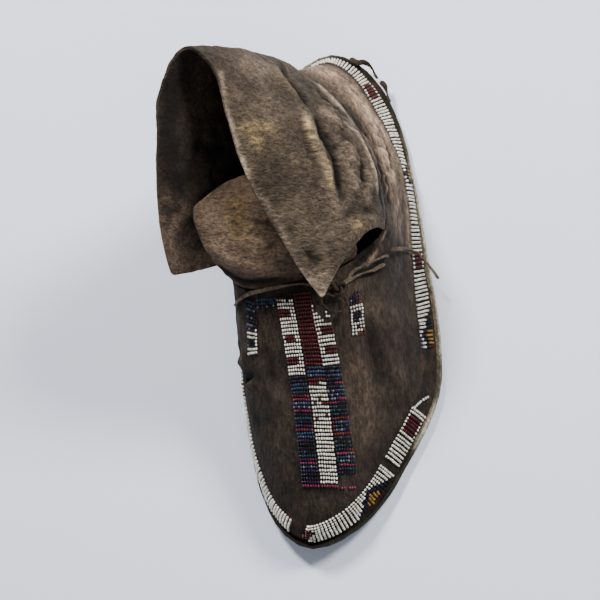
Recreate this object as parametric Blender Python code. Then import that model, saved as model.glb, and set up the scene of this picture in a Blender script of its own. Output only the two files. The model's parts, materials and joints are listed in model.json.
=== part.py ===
"""A left moccasin with a hard sole, empty and standing on a floor.

It has a rawhide sole, a one-piece hide upper closed at the heel, a tongue, a tall ankle cuff of thinner
hide, a thong tie with a knot, a fringe at the heel, and bands of beads sewn in lanes. The toe points
to -Y, the outer side of the foot to +X, and the sole's flat underside lies on z = 0.
"""

import math

import bmesh
import bpy
import numpy as np
from mathutils import Vector
from mathutils.bvhtree import BVHTree

MM = 0.001  # sizes and tables below are in millimetres, meshes in metres

GAP = 0.3  # left between two pieces that touch
SOLE_THICKNESS = 3.5
SOLE_LIP = 1.2  # how far the sole's rim curls up beside the upper
LIP_WIDTH = 2.3  # the rim that shows outside the upper
TOE_SPRING = 6.0
SPRING_START = -88.0  # y where the sole begins to rise to the toe
ARCH_LIFT = 2.0
ARCH_CENTRE = 0.70  # places round the sole run from 0 at the toe, by the outer side, to 1
ARCH_SPREAD = 0.09
UPPER_WALL = 1.6
CUFF_WALL = 1.4
TONGUE_WALL = 1.3
BEAD_GAP = 0.6  # under the beads, so that a band's flat faces clear the rounder leather
BEAD_HEIGHT = 1.6
BORDER_WIDTH = 9.2
THONG = 2.0  # width of the cut thong, taken as round

AROUND = 80  # faces round the sole and the upper
UPPER_ROWS = 13
CUFF_COLUMNS, CUFF_ROWS = 36, 10
TONGUE_COLUMNS, TONGUE_ROWS = 12, 9
ROUTE_STEPS = 2  # points on a thong between two points of its route

# The sole's outline, anticlockwise from the toe as seen from above.
OUTLINE = (
    # x, y
    (-14.0, -130.8),  # toe
    (10.9, -118.4),
    (34.7, -82.3),
    (45.2, -58.6),
    (46.5, -28.0),  # outer ball
    (42.5, 12.0),
    (37.0, 60.0),
    (30.0, 92.0),
    (17.1, 117.6),
    (-1.0, 129.5),  # heel
    (-18.8, 120.2),
    (-28.5, 97.0),
    (-30.5, 55.0),  # inner waist
    (-37.0, 6.0),
    (-45.0, -42.0),  # inner ball
    (-41.9, -83.5),
    (-31.3, -116.3),
)

# The upper's sections, one for each place round the sole. A section is an arc from the sole's rim to
# the collar or throat. It leaves the rim by bulge, outwards, and rise. It meets the top from a point
# that lies lower by drop, and this share of the way back to the rim.
SECTIONS = (
    # place, top x, top y, top z, bulge, rise, share, drop
    (0.000, -12.0, -24.8, 59.0, -0.9, 18.0, 0.64, 27.0),
    (0.070, -3.0, -23.3, 57.5, -6.2, 8.7, 0.60, 25.0),
    (0.140, 6.0, -18.5, 55.0, -8.3, 9.0, 0.56, 19.0),
    (0.205, 17.0, -11.0, 52.0, -11.0, 8.0, 0.48, 15.0),
    (0.235, 23.0, -5.3, 50.6, -12.0, 7.0, 0.38, 15.0),
    (0.265, 28.0, 2.0, 49.5, -10.5, 10.0, 0.38, 14.0),
    (0.330, 27.5, 24.0, 49.5, -3.5, 15.0, 0.50, 14.0),
    (0.365, 24.0, 38.2, 49.7, -4.0, 15.0, 0.50, 14.8),
    (0.410, 17.0, 58.0, 50.0, -10.5, 11.0, 0.50, 16.0),
    (0.435, 11.2, 68.6, 49.8, -14.0, 8.0, 0.50, 16.0),
    (0.460, 4.0, 78.0, 49.5, -12.0, 8.5, 0.48, 16.0),
    (0.515, -13.0, 91.0, 49.0, -11.0, 8.0, 0.44, 17.0),
    (0.590, -26.0, 72.0, 53.0, -4.5, 12.0, 0.40, 17.0),
    (0.680, -32.0, 36.0, 58.0, 1.0, 16.0, 0.20, 20.0),
    (0.760, -38.0, 0.0, 60.5, 5.0, 18.0, 0.20, 20.0),
    (0.815, -40.0, -20.0, 61.0, 6.0, 19.0, 0.30, 19.0),
    (0.865, -34.0, -27.8, 61.0, 2.0, 16.0, 0.48, 20.0),
    (0.930, -22.0, -27.0, 60.0, 3.6, 10.6, 0.60, 25.0),
)

# The cuff, from its outer front edge round the heel to its inner front edge. It stands on the collar,
# leans to the inner side, and its outer half falls over the opening to a point above the instep.
CUFF_START, CUFF_END = 0.262, 0.790
CUFF_FOLDS = (
    # along, belly x, y, z, shoulder x, y, z, rim x, y, z
    (0.00, 28.0, 1.0, 62.0, 12.0, -8.0, 73.0, 1.0, -37.0, 63.0),
    (0.12, 28.0, 24.0, 68.0, 10.0, 2.0, 84.0, -8.6, -24.0, 73.0),
    (0.30, 14.0, 52.0, 76.0, -6.0, 28.0, 102.0, -26.0, 8.0, 98.0),
    (0.42, 0.0, 74.0, 76.0, -18.0, 52.0, 106.0, -32.0, 31.0, 111.0),
    (0.50, -12.0, 85.0, 74.0, -27.0, 72.0, 105.0, -36.0, 51.0, 118.0),
    (0.57, -22.0, 84.0, 74.0, -39.0, 74.0, 105.0, -48.0, 61.0, 123.0),
    (0.66, -32.0, 62.0, 76.0, -48.0, 60.0, 98.0, -60.0, 45.0, 117.0),
    (0.77, -38.0, 34.0, 74.0, -52.0, 34.0, 92.0, -62.0, 24.0, 111.0),
    (0.87, -40.0, 8.0, 72.0, -52.0, 10.0, 86.0, -65.0, 8.0, 99.0),
    (0.94, -44.0, -6.0, 68.0, -55.0, -7.0, 76.0, -67.0, -6.0, 84.0),
    (1.00, -46.0, -17.0, 64.0, -55.0, -20.0, 68.0, -66.0, -21.0, 68.0),
)

# The tongue, from its inner to its outer edge. It rolls forward over the throat and lies back.
TONGUE_START, TONGUE_END = 0.832, 1.195
TONGUE_FOLDS = (
    # along, belly x, y, z, shoulder x, y, z, rim x, y, z
    (0.00, -44.0, -24.0, 73.0, -53.0, -10.0, 86.0, -51.0, 0.0, 90.0),
    (0.30, -27.0, -28.0, 75.0, -36.0, -6.0, 90.0, -38.0, 14.0, 84.0),
    (0.60, -8.0, -23.5, 72.5, -13.0, -2.0, 82.0, -20.0, 20.0, 78.0),
    (1.00, 18.0, -10.0, 62.0, 12.0, 0.0, 66.0, 6.0, 14.0, 64.0),
)

# The bead border starts this far up the leather from the sole.
BORDER_FOOT = (
    # place, distance
    (0.00, 1.7),
    (0.05, 1.7),
    (0.10, 0.4),
    (0.15, 0.4),
    (0.20, 1.2),
    (0.24, 1.2),
    (0.30, 1.5),
    (0.36, 1.4),
    (0.43, 1.4),
    (0.47, 2.6),
    (0.515, 0.8),
    (0.60, 1.9),
    (0.70, 3.2),
    (0.79, 2.6),
    (0.85, 2.0),
    (0.91, 1.8),
    (0.96, 2.0),
)

# The border's stretches. Between them the beads are lost and the leather shows.
BORDERS = (
    # name, first place, last place
    ("bead_border_toe", -0.0105, 0.1425),
    ("bead_border_outer", 0.2000, 0.5110),
    ("bead_border_inner", 0.5130, 0.9780),
)
BORDER_STEP = 0.0125  # of the way round, for each face of a border

# Straight lanes of beads on the instep, each from the throat end to the toe end, as seen from above.
LANES = (
    # name, from x, y, to x, y, width
    ("bead_lane_inner", -17.0, -31.4, -11.4, -108.7, 6.6),
    ("bead_lane_middle", -9.5, -28.7, -3.7, -108.6, 6.5),
    ("bead_lane_outer", -2.2, -33.3, 4.2, -108.1, 6.5),
    ("bead_mark_inner", -31.5, -31.1, -33.7, -50.3, 4.4),
    ("bead_mark_outer", 13.2, -26.4, 12.9, -44.5, 5.2),
)
LANE_STEP = 6.0  # length of a face of a lane

# Routes of the thong tie. It comes out of a slit on the inner side, crosses the throat to a knot, and
# two strands go on to slits on the outer side, beyond which one end comes out again and hangs.
TIE_ACROSS = (
    (-38.8, -31.3, 56.3),
    (-35.9, -30.6, 59.4),
    (-32.4, -30.0, 61.6),
    (-28.3, -29.2, 61.7),
    (-23.5, -28.3, 61.4),
    (-18.2, -27.4, 60.9),
    (-13.4, -26.6, 60.3),
    (-9.1, -26.2, 59.6),
    (-4.9, -26.7, 58.5),
    (-0.7, -27.3, 56.8),
    (2.0, -27.4, 55.6),
)
TIE_STRANDS = (
    (
        (10.6, -23.2, 53.1),
        (12.3, -20.3, 53.0),
        (14.4, -18.1, 52.5),
        (17.0, -16.5, 51.4),
        (19.2, -14.6, 50.8),
        (21.4, -13.5, 49.7),
        (24.3, -10.9, 47.4),
        (27.0, -8.3, 45.1),
    ),
    (
        (10.6, -23.2, 53.1),
        (13.8, -21.2, 51.7),
        (18.1, -18.5, 49.9),
        (21.5, -16.6, 47.8),
        (23.4, -15.0, 46.5),
        (25.3, -13.3, 45.4),
    ),
)
TIE_LOOP = (
    (4.2, -30.9, 54.2),
    (2.1, -29.9, 56.3),
    (-0.3, -31.9, 57.7),
    (-0.7, -35.2, 57.6),
    (1.5, -38.2, 56.3),
    (4.9, -39.0, 54.7),
    (8.4, -37.5, 53.1),
    (10.4, -34.3, 52.3),
    (9.4, -31.3, 52.4),
    (7.4, -30.7, 52.6),
)
TIE_END = (
    (29.8, -4.7, 43.1),
    (31.9, -3.4, 40.7),
    (33.7, 1.2, 31.6),
    (35.2, 5.1, 23.2),
    (36.5, 7.3, 17.0),
    (39.0, 6.9, 15.4),
    (40.3, 5.2, 14.0),
    (42.1, 3.2, 13.8),
    (44.3, 0.2, 12.8),
    (46.0, -2.3, 11.5),
    (47.7, -5.0, 10.3),
)
KNOT_CENTRE = (6.8, -27.1, 56.0)
KNOT_RADII = (3.7, 3.0, 2.9)
HEEL_TRAILERS = (
    (
        (9.5, 124.1, 6.2),
        (12.8, 121.5, 6.4),
        (15.4, 121.3, 6.6),
        (18.2, 119.5, 6.8),
        (20.0, 116.7, 6.8),
        (21.0, 113.9, 6.7),
        (22.1, 111.1, 6.6),
    ),
    (
        (24.2, 108.5, 6.3),
        (25.9, 106.2, 6.3),
        (26.7, 103.1, 6.4),
        (27.1, 100.1, 6.4),
        (28.0, 97.0, 6.3),
    ),
)


def mesh_object(name, bm, colour, roughness):
    """One object from a closed bmesh in millimetres, smooth, with a plain material of its own."""
    bmesh.ops.scale(bm, vec=(MM, MM, MM), verts=bm.verts)
    bmesh.ops.recalc_face_normals(bm, faces=bm.faces)
    mesh = bpy.data.meshes.new(name)
    bm.to_mesh(mesh)
    bm.free()
    mesh.shade_smooth()
    mesh.set_sharp_from_angle(angle=math.radians(40))
    obj = bpy.data.objects.new(name, mesh)
    bpy.context.scene.collection.objects.link(obj)
    paint(obj, colour, roughness)
    return obj


def paint(obj, colour, roughness):
    material = bpy.data.materials.new(obj.name)
    material.use_nodes = True
    shader = material.node_tree.nodes["Principled BSDF"]
    shader.inputs["Base Color"].default_value = (*colour, 1.0)
    shader.inputs["Roughness"].default_value = roughness
    shader.inputs["Metallic"].default_value = 0.0
    obj.data.materials.append(material)


def table_at(rows, place, period=None):
    """The values of a table at a place: a smooth curve through its rows, round and round if periodic."""
    count = len(rows)

    def knot(i):
        laps, j = divmod(i, count) if period else (0, min(max(i, 0), count - 1))
        return rows[j][0] + laps * (period or 0), np.array(rows[j][1:], float)

    if period:
        place %= period
    here = max((i for i in range(count) if rows[i][0] <= place), default=0)
    if not period:
        here = min(here, count - 2)
    (u0, p0), (u1, p1), (u2, p2), (u3, p3) = (knot(here + i) for i in (-1, 0, 1, 2))
    width = u2 - u1
    t = (place - u1) / width
    leave = (p2 - p0) / (u2 - u0) * width
    arrive = (p3 - p1) / (u3 - u1) * width
    return (
        (2 * t**3 - 3 * t**2 + 1) * p1
        + (t**3 - 2 * t**2 + t) * leave
        + (3 * t**2 - 2 * t**3) * p2
        + (t**3 - t**2) * arrive
    )


def outline_table():
    """The outline with its place, from 0 to 1, worked out from the lengths of its chords."""
    points = np.array(OUTLINE)
    chords = np.linalg.norm(np.roll(points, -1, axis=0) - points, axis=1)
    places = np.concatenate([[0], np.cumsum(chords)[:-1]]) / chords.sum()
    return [(place, *point) for place, point in zip(places, points)]


OUTLINE_TABLE = outline_table()


def rim(place, inset=0.0):
    """A point of the sole's outline, moved in from the edge, and the outward direction there."""
    step = 0.002
    before, here, after = (table_at(OUTLINE_TABLE, place + s, 1.0) for s in (-step, 0.0, step))
    along = (after - before) / np.linalg.norm(after - before)
    outward = np.array([along[1], -along[0]])
    return here - outward * inset, outward


def edge_lift(place, y):
    """How high the sole's edge is off the floor: the toe spring, and the arch at the inner waist."""
    toe_y = OUTLINE[0][1]
    spring = TOE_SPRING * max(0.0, (SPRING_START - y) / (SPRING_START - toe_y)) ** 2
    off_arch = (place - ARCH_CENTRE) / ARCH_SPREAD
    return spring + ARCH_LIFT * math.exp(-(off_arch**2))


def bezier(controls, t):
    p0, p1, p2, p3 = controls
    s = 1 - t
    return s**3 * p0 + 3 * s * s * t * p1 + 3 * s * t * t * p2 + t**3 * p3


def section(place):
    """The four control points of the upper's section at a place round the sole."""
    top_x, top_y, top_z, bulge, rise, share, drop = table_at(SECTIONS, place, 1.0)
    foot_xy, outward = rim(place, LIP_WIDTH)
    foot = np.array([*foot_xy, edge_lift(place, foot_xy[1]) + SOLE_THICKNESS + GAP])
    top = np.array([top_x, top_y, top_z])
    side = np.array([*outward, 0.0])
    up = np.array([0.0, 0.0, 1.0])
    back = np.array([foot[0] - top_x, foot[1] - top_y, 0.0]) * share
    return foot, foot + side * bulge + up * rise, top + back - up * drop, top


def upper_point(place, t):
    """A point of the upper's outer face: t is 0 at the sole and 1 at the collar or throat."""
    return bezier(section(place % 1.0), t)


def upper_normal(place, t):
    step = 0.004
    low, high = max(t - step, 0.0), min(t + step, 1.0)
    along = upper_point(place + step, t) - upper_point(place - step, t)
    up = upper_point(place, high) - upper_point(place, low)
    normal = np.cross(along, up)
    return normal / np.linalg.norm(normal)


def up_the_side(place, distance):
    """The t that lies this far up the upper from the sole, measured on the leather."""
    steps = 60
    walked = 0.0
    last = upper_point(place, 0.0)
    for i in range(1, steps + 1):
        point = upper_point(place, i / steps)
        stride = np.linalg.norm(point - last)
        if walked + stride >= distance:
            return (i - 1 + (distance - walked) / stride) / steps
        walked += stride
        last = point
    return 1.0


def loft(rings, closed_around):
    """A closed body from rings of equal length: each ring joins the next, and the last the first."""
    bm = bmesh.new()
    verts = [[bm.verts.new(point) for point in ring] for ring in rings]
    count = len(rings[0])
    for here, after in zip(verts, verts[1:] + verts[:1]):
        for j in range(count if closed_around else count - 1):
            k = (j + 1) % count
            bm.faces.new((here[j], here[k], after[k], after[j]))
    if not closed_around:
        bm.faces.new([ring[0] for ring in verts])
        bm.faces.new([ring[-1] for ring in verts][::-1])
    return bm


def shell(grid, lower, upper):
    """A thick sheet: the grid of points and normals, moved along the normals by lower and by upper."""
    outer = [[point + normal * upper for point, normal in row] for row in grid]
    inner = [[point + normal * lower for point, normal in row] for row in grid]
    return outer + inner[::-1]


def grid_normals(points):
    """The same grid with each point's normal, from its neighbours along and across."""
    across = np.gradient(points, axis=1)
    along = np.gradient(points, axis=0)
    normals = np.cross(across, along)
    normals /= np.linalg.norm(normals, axis=2, keepdims=True)
    return [list(zip(row, turns)) for row, turns in zip(points, normals)]


def make_sole():
    """Rawhide, flat on the floor from heel to ball, with a lip that curls up outside the upper."""
    rows = (
        # inset, height, share of the edge's lift
        (16.0, 0.0, 0.2),
        (8.0, 0.0, 0.6),
        (2.5, 0.2, 1.0),
        (0.5, SOLE_LIP * 0.6, 1.0),
        (0.0, SOLE_LIP + SOLE_THICKNESS * 0.4, 1.0),
        (0.0, SOLE_LIP + SOLE_THICKNESS * 0.8, 1.0),
        (0.6, SOLE_LIP + SOLE_THICKNESS, 1.0),
        (2.0, SOLE_THICKNESS, 1.0),
        (8.0, SOLE_THICKNESS, 0.6),
        (16.0, SOLE_THICKNESS, 0.2),
    )
    bm = bmesh.new()
    rings = []
    for inset, height, share in rows:
        ring = []
        for i in range(AROUND):
            place = i / AROUND
            xy, _ = rim(place, inset)
            edge_y = rim(place)[0][1]
            lift = edge_lift(place, xy[1]) if share == 1.0 else share * edge_lift(place, edge_y)
            ring.append(bm.verts.new((*xy, height + lift)))
        rings.append(ring)
    for here, after in zip(rings, rings[1:]):
        for j in range(AROUND):
            k = (j + 1) % AROUND
            bm.faces.new((here[j], here[k], after[k], after[j]))
    close_flat(bm, rings[0], 0.0)
    close_flat(bm, rings[-1], SOLE_THICKNESS)
    return mesh_object("sole", bm, (0.36, 0.29, 0.20), 0.75)


def close_flat(bm, ring, height):
    """A flat middle inside a ring: one level face, a little smaller than the ring, and a slope to it."""
    shrink = 0.82
    inner = [bm.verts.new((v.co.x * shrink, v.co.y * shrink, height)) for v in ring]
    count = len(ring)
    for j in range(count):
        k = (j + 1) % count
        bm.faces.new((ring[j], ring[k], inner[k], inner[j]))
    bm.faces.new(inner)


def make_upper():
    """Brain-tanned hide, one wall from the sole's rim to the collar and the throat."""
    grid = []
    for row in range(UPPER_ROWS + 1):
        t = row / UPPER_ROWS
        ring = []
        for i in range(AROUND):
            place = i / AROUND
            level = np.array([*rim(place)[1], 0.0])
            ring.append((upper_point(place, t), upper_normal(place, t) if row else level))
        grid.append(ring)
    bm = loft(shell(grid, -UPPER_WALL, 0.0), closed_around=True)
    return mesh_object("upper", bm, (0.17, 0.13, 0.105), 0.85)


def folded_sheet(name, folds, start, end, columns, rows, wall):
    """A sheet of hide sewn to the upper's top edge: each fold is an arc from the edge to the rim."""
    stand_off = GAP + wall / 2
    points = np.zeros((rows + 1, columns + 1, 3))
    for column in range(columns + 1):
        along = column / columns
        place = start + (end - start) * along
        _, _, before, top = section(place % 1.0)
        onward = (top - before) / np.linalg.norm(top - before)
        foot = top - upper_normal(place, 1.0) * UPPER_WALL / 2 + onward * stand_off
        values = table_at(folds, along)
        controls = (foot, values[0:3], values[3:6], values[6:9])
        for row in range(rows + 1):
            points[row, column] = bezier(controls, row / rows)
    bm = loft(shell(grid_normals(points), -wall / 2, wall / 2), closed_around=False)
    return mesh_object(name, bm, (0.25, 0.195, 0.14), 0.9)


def border_band(name, first, last):
    """A stretch of the bead border, cut just above the leather from the upper's own function."""
    columns = max(2, round((last - first) / BORDER_STEP))
    grid = []
    for share in (0.0, 0.5, 1.0):
        row = []
        for column in range(columns + 1):
            place = first + (last - first) * column / columns
            start = table_at(BORDER_FOOT, place, 1.0)[0]
            t = up_the_side(place, start + BORDER_WIDTH * share)
            row.append((upper_point(place, t), upper_normal(place, t)))
        grid.append(row)
    bm = loft(shell(grid, BEAD_GAP, BEAD_GAP + BEAD_HEIGHT), closed_around=False)
    return mesh_object(name, bm, (0.62, 0.58, 0.50), 0.35)


def upper_tree():
    """The outer face of the upper as a search tree, for what is laid on it from above."""
    points = []
    faces = []
    fine = 2 * AROUND
    for row in range(UPPER_ROWS + 1):
        points += [Vector(upper_point(i / fine, row / UPPER_ROWS)) for i in range(fine)]
    for row in range(UPPER_ROWS):
        for i in range(fine):
            k = (i + 1) % fine
            low = row * fine
            faces.append((low + i, low + k, low + fine + k, low + fine + i))
    return BVHTree.FromPolygons(points, faces)


def lane_band(name, tree, start, end, width):
    """A straight lane of beads, dropped from above on to the upper."""
    start, end = np.array(start), np.array(end)
    length = np.linalg.norm(end - start)
    along = (end - start) / length
    across = np.array([-along[1], along[0]])
    rows = max(2, round(length / LANE_STEP))
    grid = []
    for side in (-0.5, 0.0, 0.5):
        row = []
        for i in range(rows + 1):
            x, y = start + along * length * i / rows + across * width * side
            hit, normal, _, _ = tree.ray_cast(Vector((x, y, 200.0)), Vector((0.0, 0.0, -1.0)))
            if normal.z < 0:
                normal = -normal
            row.append((np.array(hit), np.array(normal)))
        grid.append(row)
    bm = loft(shell(grid, BEAD_GAP, BEAD_GAP + BEAD_HEIGHT), closed_around=False)
    return mesh_object(name, bm, (0.45, 0.33, 0.33), 0.35)


def route(points):
    """A smooth curve through a route's points."""
    rows = [(float(i), *point) for i, point in enumerate(points)]
    steps = ROUTE_STEPS * (len(points) - 1)
    return [table_at(rows, i / ROUTE_STEPS) for i in range(steps + 1)]


def thong(name, points, colour=(0.13, 0.095, 0.07)):
    """A thong as a round tube along its route."""
    curve = bpy.data.curves.new(name, "CURVE")
    curve.dimensions = "3D"
    curve.bevel_depth = THONG / 2 * MM
    curve.bevel_resolution = 2
    curve.use_fill_caps = True
    spline = curve.splines.new("POLY")
    path = route(points)
    spline.points.add(len(path) - 1)
    for target, point in zip(spline.points, path):
        target.co = (*(point * MM), 1.0)
    obj = bpy.data.objects.new(name, curve)
    bpy.context.scene.collection.objects.link(obj)
    paint(obj, colour, 0.8)
    return obj


def as_mesh(obj):
    """The same object with its tube turned into a mesh, so that a Boolean can work on it."""
    depsgraph = bpy.context.evaluated_depsgraph_get()
    mesh = bpy.data.meshes.new_from_object(obj.evaluated_get(depsgraph))
    solid = bpy.data.objects.new(obj.name + "_solid", mesh)
    bpy.context.scene.collection.objects.link(solid)
    name = obj.name
    bpy.data.objects.remove(obj, do_unlink=True)
    solid.name = name
    bm = bmesh.new()
    bm.from_mesh(mesh)
    bmesh.ops.remove_doubles(bm, verts=bm.verts, dist=1e-6)
    bm.to_mesh(mesh)
    bm.free()
    return solid


def make_tie():
    """The thong tie: the crossing, the pair of strands as one piece, the knot, the loop and the end."""
    thong("tie_across", TIE_ACROSS)
    strands = as_mesh(thong("tie_strands", TIE_STRANDS[0]))
    second = as_mesh(thong("tie_strand_cutter", TIE_STRANDS[1]))
    second.hide_render = True
    second.display_type = "WIRE"
    join = strands.modifiers.new("join", "BOOLEAN")
    join.operation = "UNION"
    join.object = second

    bm = bmesh.new()
    bmesh.ops.create_icosphere(bm, subdivisions=2, radius=1.0)
    bmesh.ops.scale(bm, vec=KNOT_RADII, verts=bm.verts)
    bmesh.ops.translate(bm, vec=KNOT_CENTRE, verts=bm.verts)
    mesh_object("tie_knot", bm, (0.13, 0.095, 0.07), 0.8)

    thong("tie_loop", TIE_LOOP)
    thong("tie_end", TIE_END)
    for i, points in enumerate(HEEL_TRAILERS, start=1):
        thong(f"heel_trailer_{i}", points, (0.045, 0.035, 0.03))


def clear_scene():
    for obj in list(bpy.data.objects):
        bpy.data.objects.remove(obj, do_unlink=True)


def main():
    clear_scene()
    make_sole()
    make_upper()
    folded_sheet("tongue", TONGUE_FOLDS, TONGUE_START, TONGUE_END, TONGUE_COLUMNS, TONGUE_ROWS, TONGUE_WALL)
    folded_sheet("cuff", CUFF_FOLDS, CUFF_START, CUFF_END, CUFF_COLUMNS, CUFF_ROWS, CUFF_WALL)
    for name, first, last in BORDERS:
        border_band(name, first, last)
    tree = upper_tree()
    for name, x0, y0, x1, y1, width in LANES:
        lane_band(name, tree, (x0, y0), (x1, y1), width)
    make_tie()


main()
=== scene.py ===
# %% [markdown]
# # A beaded moccasin, left shoe
#
# This file dresses the solid model of a hard-soled moccasin. On the real shoe a rawhide sole carries a
# soft hide upper, a tall ankle cuff is sewn round the collar, a tongue rolls out of the throat, a thong
# ties it, and glass seed beads are sewn on in lanes and in a border round the foot. The solid model
# keeps the sizes. Here each soft piece is made again as a fine skin with creases, and each bead is laid
# on the leather one by one.

# %% Load the solid model
import json
import math
import random

import bmesh
import bpy
import numpy as np
from mathutils import Matrix, Vector, noise
from mathutils.bvhtree import BVHTree
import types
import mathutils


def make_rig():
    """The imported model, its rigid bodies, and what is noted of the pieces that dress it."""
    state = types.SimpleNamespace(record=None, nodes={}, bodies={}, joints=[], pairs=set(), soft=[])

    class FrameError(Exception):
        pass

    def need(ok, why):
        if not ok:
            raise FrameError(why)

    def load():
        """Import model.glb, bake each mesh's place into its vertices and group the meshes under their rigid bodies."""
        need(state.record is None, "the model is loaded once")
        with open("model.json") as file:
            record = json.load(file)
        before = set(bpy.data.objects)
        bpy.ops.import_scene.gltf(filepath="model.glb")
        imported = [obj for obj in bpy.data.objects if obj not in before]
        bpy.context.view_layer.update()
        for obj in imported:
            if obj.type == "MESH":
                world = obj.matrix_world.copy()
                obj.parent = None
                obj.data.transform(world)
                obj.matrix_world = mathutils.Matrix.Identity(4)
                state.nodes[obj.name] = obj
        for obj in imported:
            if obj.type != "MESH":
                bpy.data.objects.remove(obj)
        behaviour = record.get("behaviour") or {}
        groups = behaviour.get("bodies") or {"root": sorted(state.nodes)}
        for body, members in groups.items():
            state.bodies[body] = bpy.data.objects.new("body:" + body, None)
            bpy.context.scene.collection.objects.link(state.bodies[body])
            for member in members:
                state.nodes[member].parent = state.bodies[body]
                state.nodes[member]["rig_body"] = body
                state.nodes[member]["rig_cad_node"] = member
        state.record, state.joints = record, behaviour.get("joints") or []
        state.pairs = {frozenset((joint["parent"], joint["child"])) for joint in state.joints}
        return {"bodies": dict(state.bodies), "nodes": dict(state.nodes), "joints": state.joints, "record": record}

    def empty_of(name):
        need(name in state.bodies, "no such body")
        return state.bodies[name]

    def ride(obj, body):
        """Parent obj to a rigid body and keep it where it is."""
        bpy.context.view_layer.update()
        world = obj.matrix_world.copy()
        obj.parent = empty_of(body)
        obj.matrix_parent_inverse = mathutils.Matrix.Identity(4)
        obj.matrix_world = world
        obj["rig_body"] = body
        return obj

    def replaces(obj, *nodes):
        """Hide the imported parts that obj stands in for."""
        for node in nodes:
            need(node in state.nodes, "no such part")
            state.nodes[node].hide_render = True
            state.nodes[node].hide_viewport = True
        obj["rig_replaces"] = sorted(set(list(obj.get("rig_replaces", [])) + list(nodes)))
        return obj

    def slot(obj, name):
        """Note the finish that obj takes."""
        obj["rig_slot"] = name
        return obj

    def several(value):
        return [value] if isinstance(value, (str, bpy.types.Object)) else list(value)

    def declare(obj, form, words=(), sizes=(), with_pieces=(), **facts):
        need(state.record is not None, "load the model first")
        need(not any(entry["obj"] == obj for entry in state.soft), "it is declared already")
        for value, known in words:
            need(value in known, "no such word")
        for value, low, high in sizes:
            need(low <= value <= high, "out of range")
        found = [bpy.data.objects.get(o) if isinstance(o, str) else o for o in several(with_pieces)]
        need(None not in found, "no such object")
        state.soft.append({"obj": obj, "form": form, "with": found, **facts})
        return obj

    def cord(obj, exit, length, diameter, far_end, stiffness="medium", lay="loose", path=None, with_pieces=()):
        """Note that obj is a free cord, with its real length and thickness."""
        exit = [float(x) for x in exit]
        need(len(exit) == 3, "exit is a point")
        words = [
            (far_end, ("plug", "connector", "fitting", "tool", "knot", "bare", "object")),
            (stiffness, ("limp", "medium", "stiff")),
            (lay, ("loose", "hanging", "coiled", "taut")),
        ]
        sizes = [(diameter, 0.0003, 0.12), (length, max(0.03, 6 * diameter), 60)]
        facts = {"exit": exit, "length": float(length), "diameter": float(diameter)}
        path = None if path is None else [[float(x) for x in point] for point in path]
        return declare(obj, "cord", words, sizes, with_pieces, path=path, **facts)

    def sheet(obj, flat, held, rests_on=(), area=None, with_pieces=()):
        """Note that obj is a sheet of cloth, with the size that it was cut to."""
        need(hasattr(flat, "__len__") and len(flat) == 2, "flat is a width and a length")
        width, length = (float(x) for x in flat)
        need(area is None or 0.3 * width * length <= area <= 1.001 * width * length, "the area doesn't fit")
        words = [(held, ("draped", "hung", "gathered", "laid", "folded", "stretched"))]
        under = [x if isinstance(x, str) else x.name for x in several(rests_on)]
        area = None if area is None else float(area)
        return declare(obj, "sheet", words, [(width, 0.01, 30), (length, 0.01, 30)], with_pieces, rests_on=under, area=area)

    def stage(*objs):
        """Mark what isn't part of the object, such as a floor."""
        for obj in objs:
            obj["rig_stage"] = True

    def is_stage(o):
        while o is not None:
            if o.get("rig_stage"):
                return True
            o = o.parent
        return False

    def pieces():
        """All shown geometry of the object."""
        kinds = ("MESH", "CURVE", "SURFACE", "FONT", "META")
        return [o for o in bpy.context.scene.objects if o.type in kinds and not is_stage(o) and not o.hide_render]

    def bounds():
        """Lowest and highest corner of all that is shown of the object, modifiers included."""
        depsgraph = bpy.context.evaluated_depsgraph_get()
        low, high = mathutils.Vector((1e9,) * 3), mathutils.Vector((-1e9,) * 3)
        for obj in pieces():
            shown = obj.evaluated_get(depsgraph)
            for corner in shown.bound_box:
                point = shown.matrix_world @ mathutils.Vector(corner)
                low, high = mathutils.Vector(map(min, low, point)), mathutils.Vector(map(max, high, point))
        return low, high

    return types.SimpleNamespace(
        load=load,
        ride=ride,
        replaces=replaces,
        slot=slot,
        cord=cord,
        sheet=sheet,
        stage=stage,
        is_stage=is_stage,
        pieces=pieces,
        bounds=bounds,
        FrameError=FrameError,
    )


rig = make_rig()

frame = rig.load()
cad_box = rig.bounds()
MM = 0.001  # tables below are in millimetres in the shoe's own frame: toe to -y, outer side to +x
print("solid pieces:", ", ".join(sorted(frame["nodes"])))

# %% [markdown]
# ## Camera, floor and light
#
# A shoe on the ground is seen from above and in front. A camera can be aimed with angles, but three
# directions are easier to read: where it stands, what it looks at, and which way is up in the picture.
# Two soft windows stand behind the heel, a small strong one on the inner side and a broader one on the
# outer side. A weak fill comes from the front, and the sky is pale.


# %% Put things in the scene and aim them
def mesh_from(bm, name):
    """A finished bmesh as a mesh."""
    mesh = bpy.data.meshes.new(name)
    bm.to_mesh(mesh)
    bm.free()
    return mesh


def in_scene(name, data):
    """A new object of the scene, made of a mesh, a lamp or a camera."""
    obj = bpy.data.objects.new(name, data)
    bpy.context.scene.collection.objects.link(obj)
    return obj


def new_material(name, roughness):
    """A new material, its node tree and its shader."""
    material = bpy.data.materials.new(name)
    material.use_nodes = True
    shader = material.node_tree.nodes["Principled BSDF"]
    shader.inputs["Roughness"].default_value = roughness
    return material, material.node_tree, shader


def aimed(place, target, up):
    """A matrix for an object that stands at a place and looks down its own -Z at the target."""
    back = (place - target).normalized()
    right = up.cross(back).normalized()
    turn = Matrix((right, back.cross(right), back)).transposed().to_4x4()
    return Matrix.Translation(place) @ turn


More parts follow.
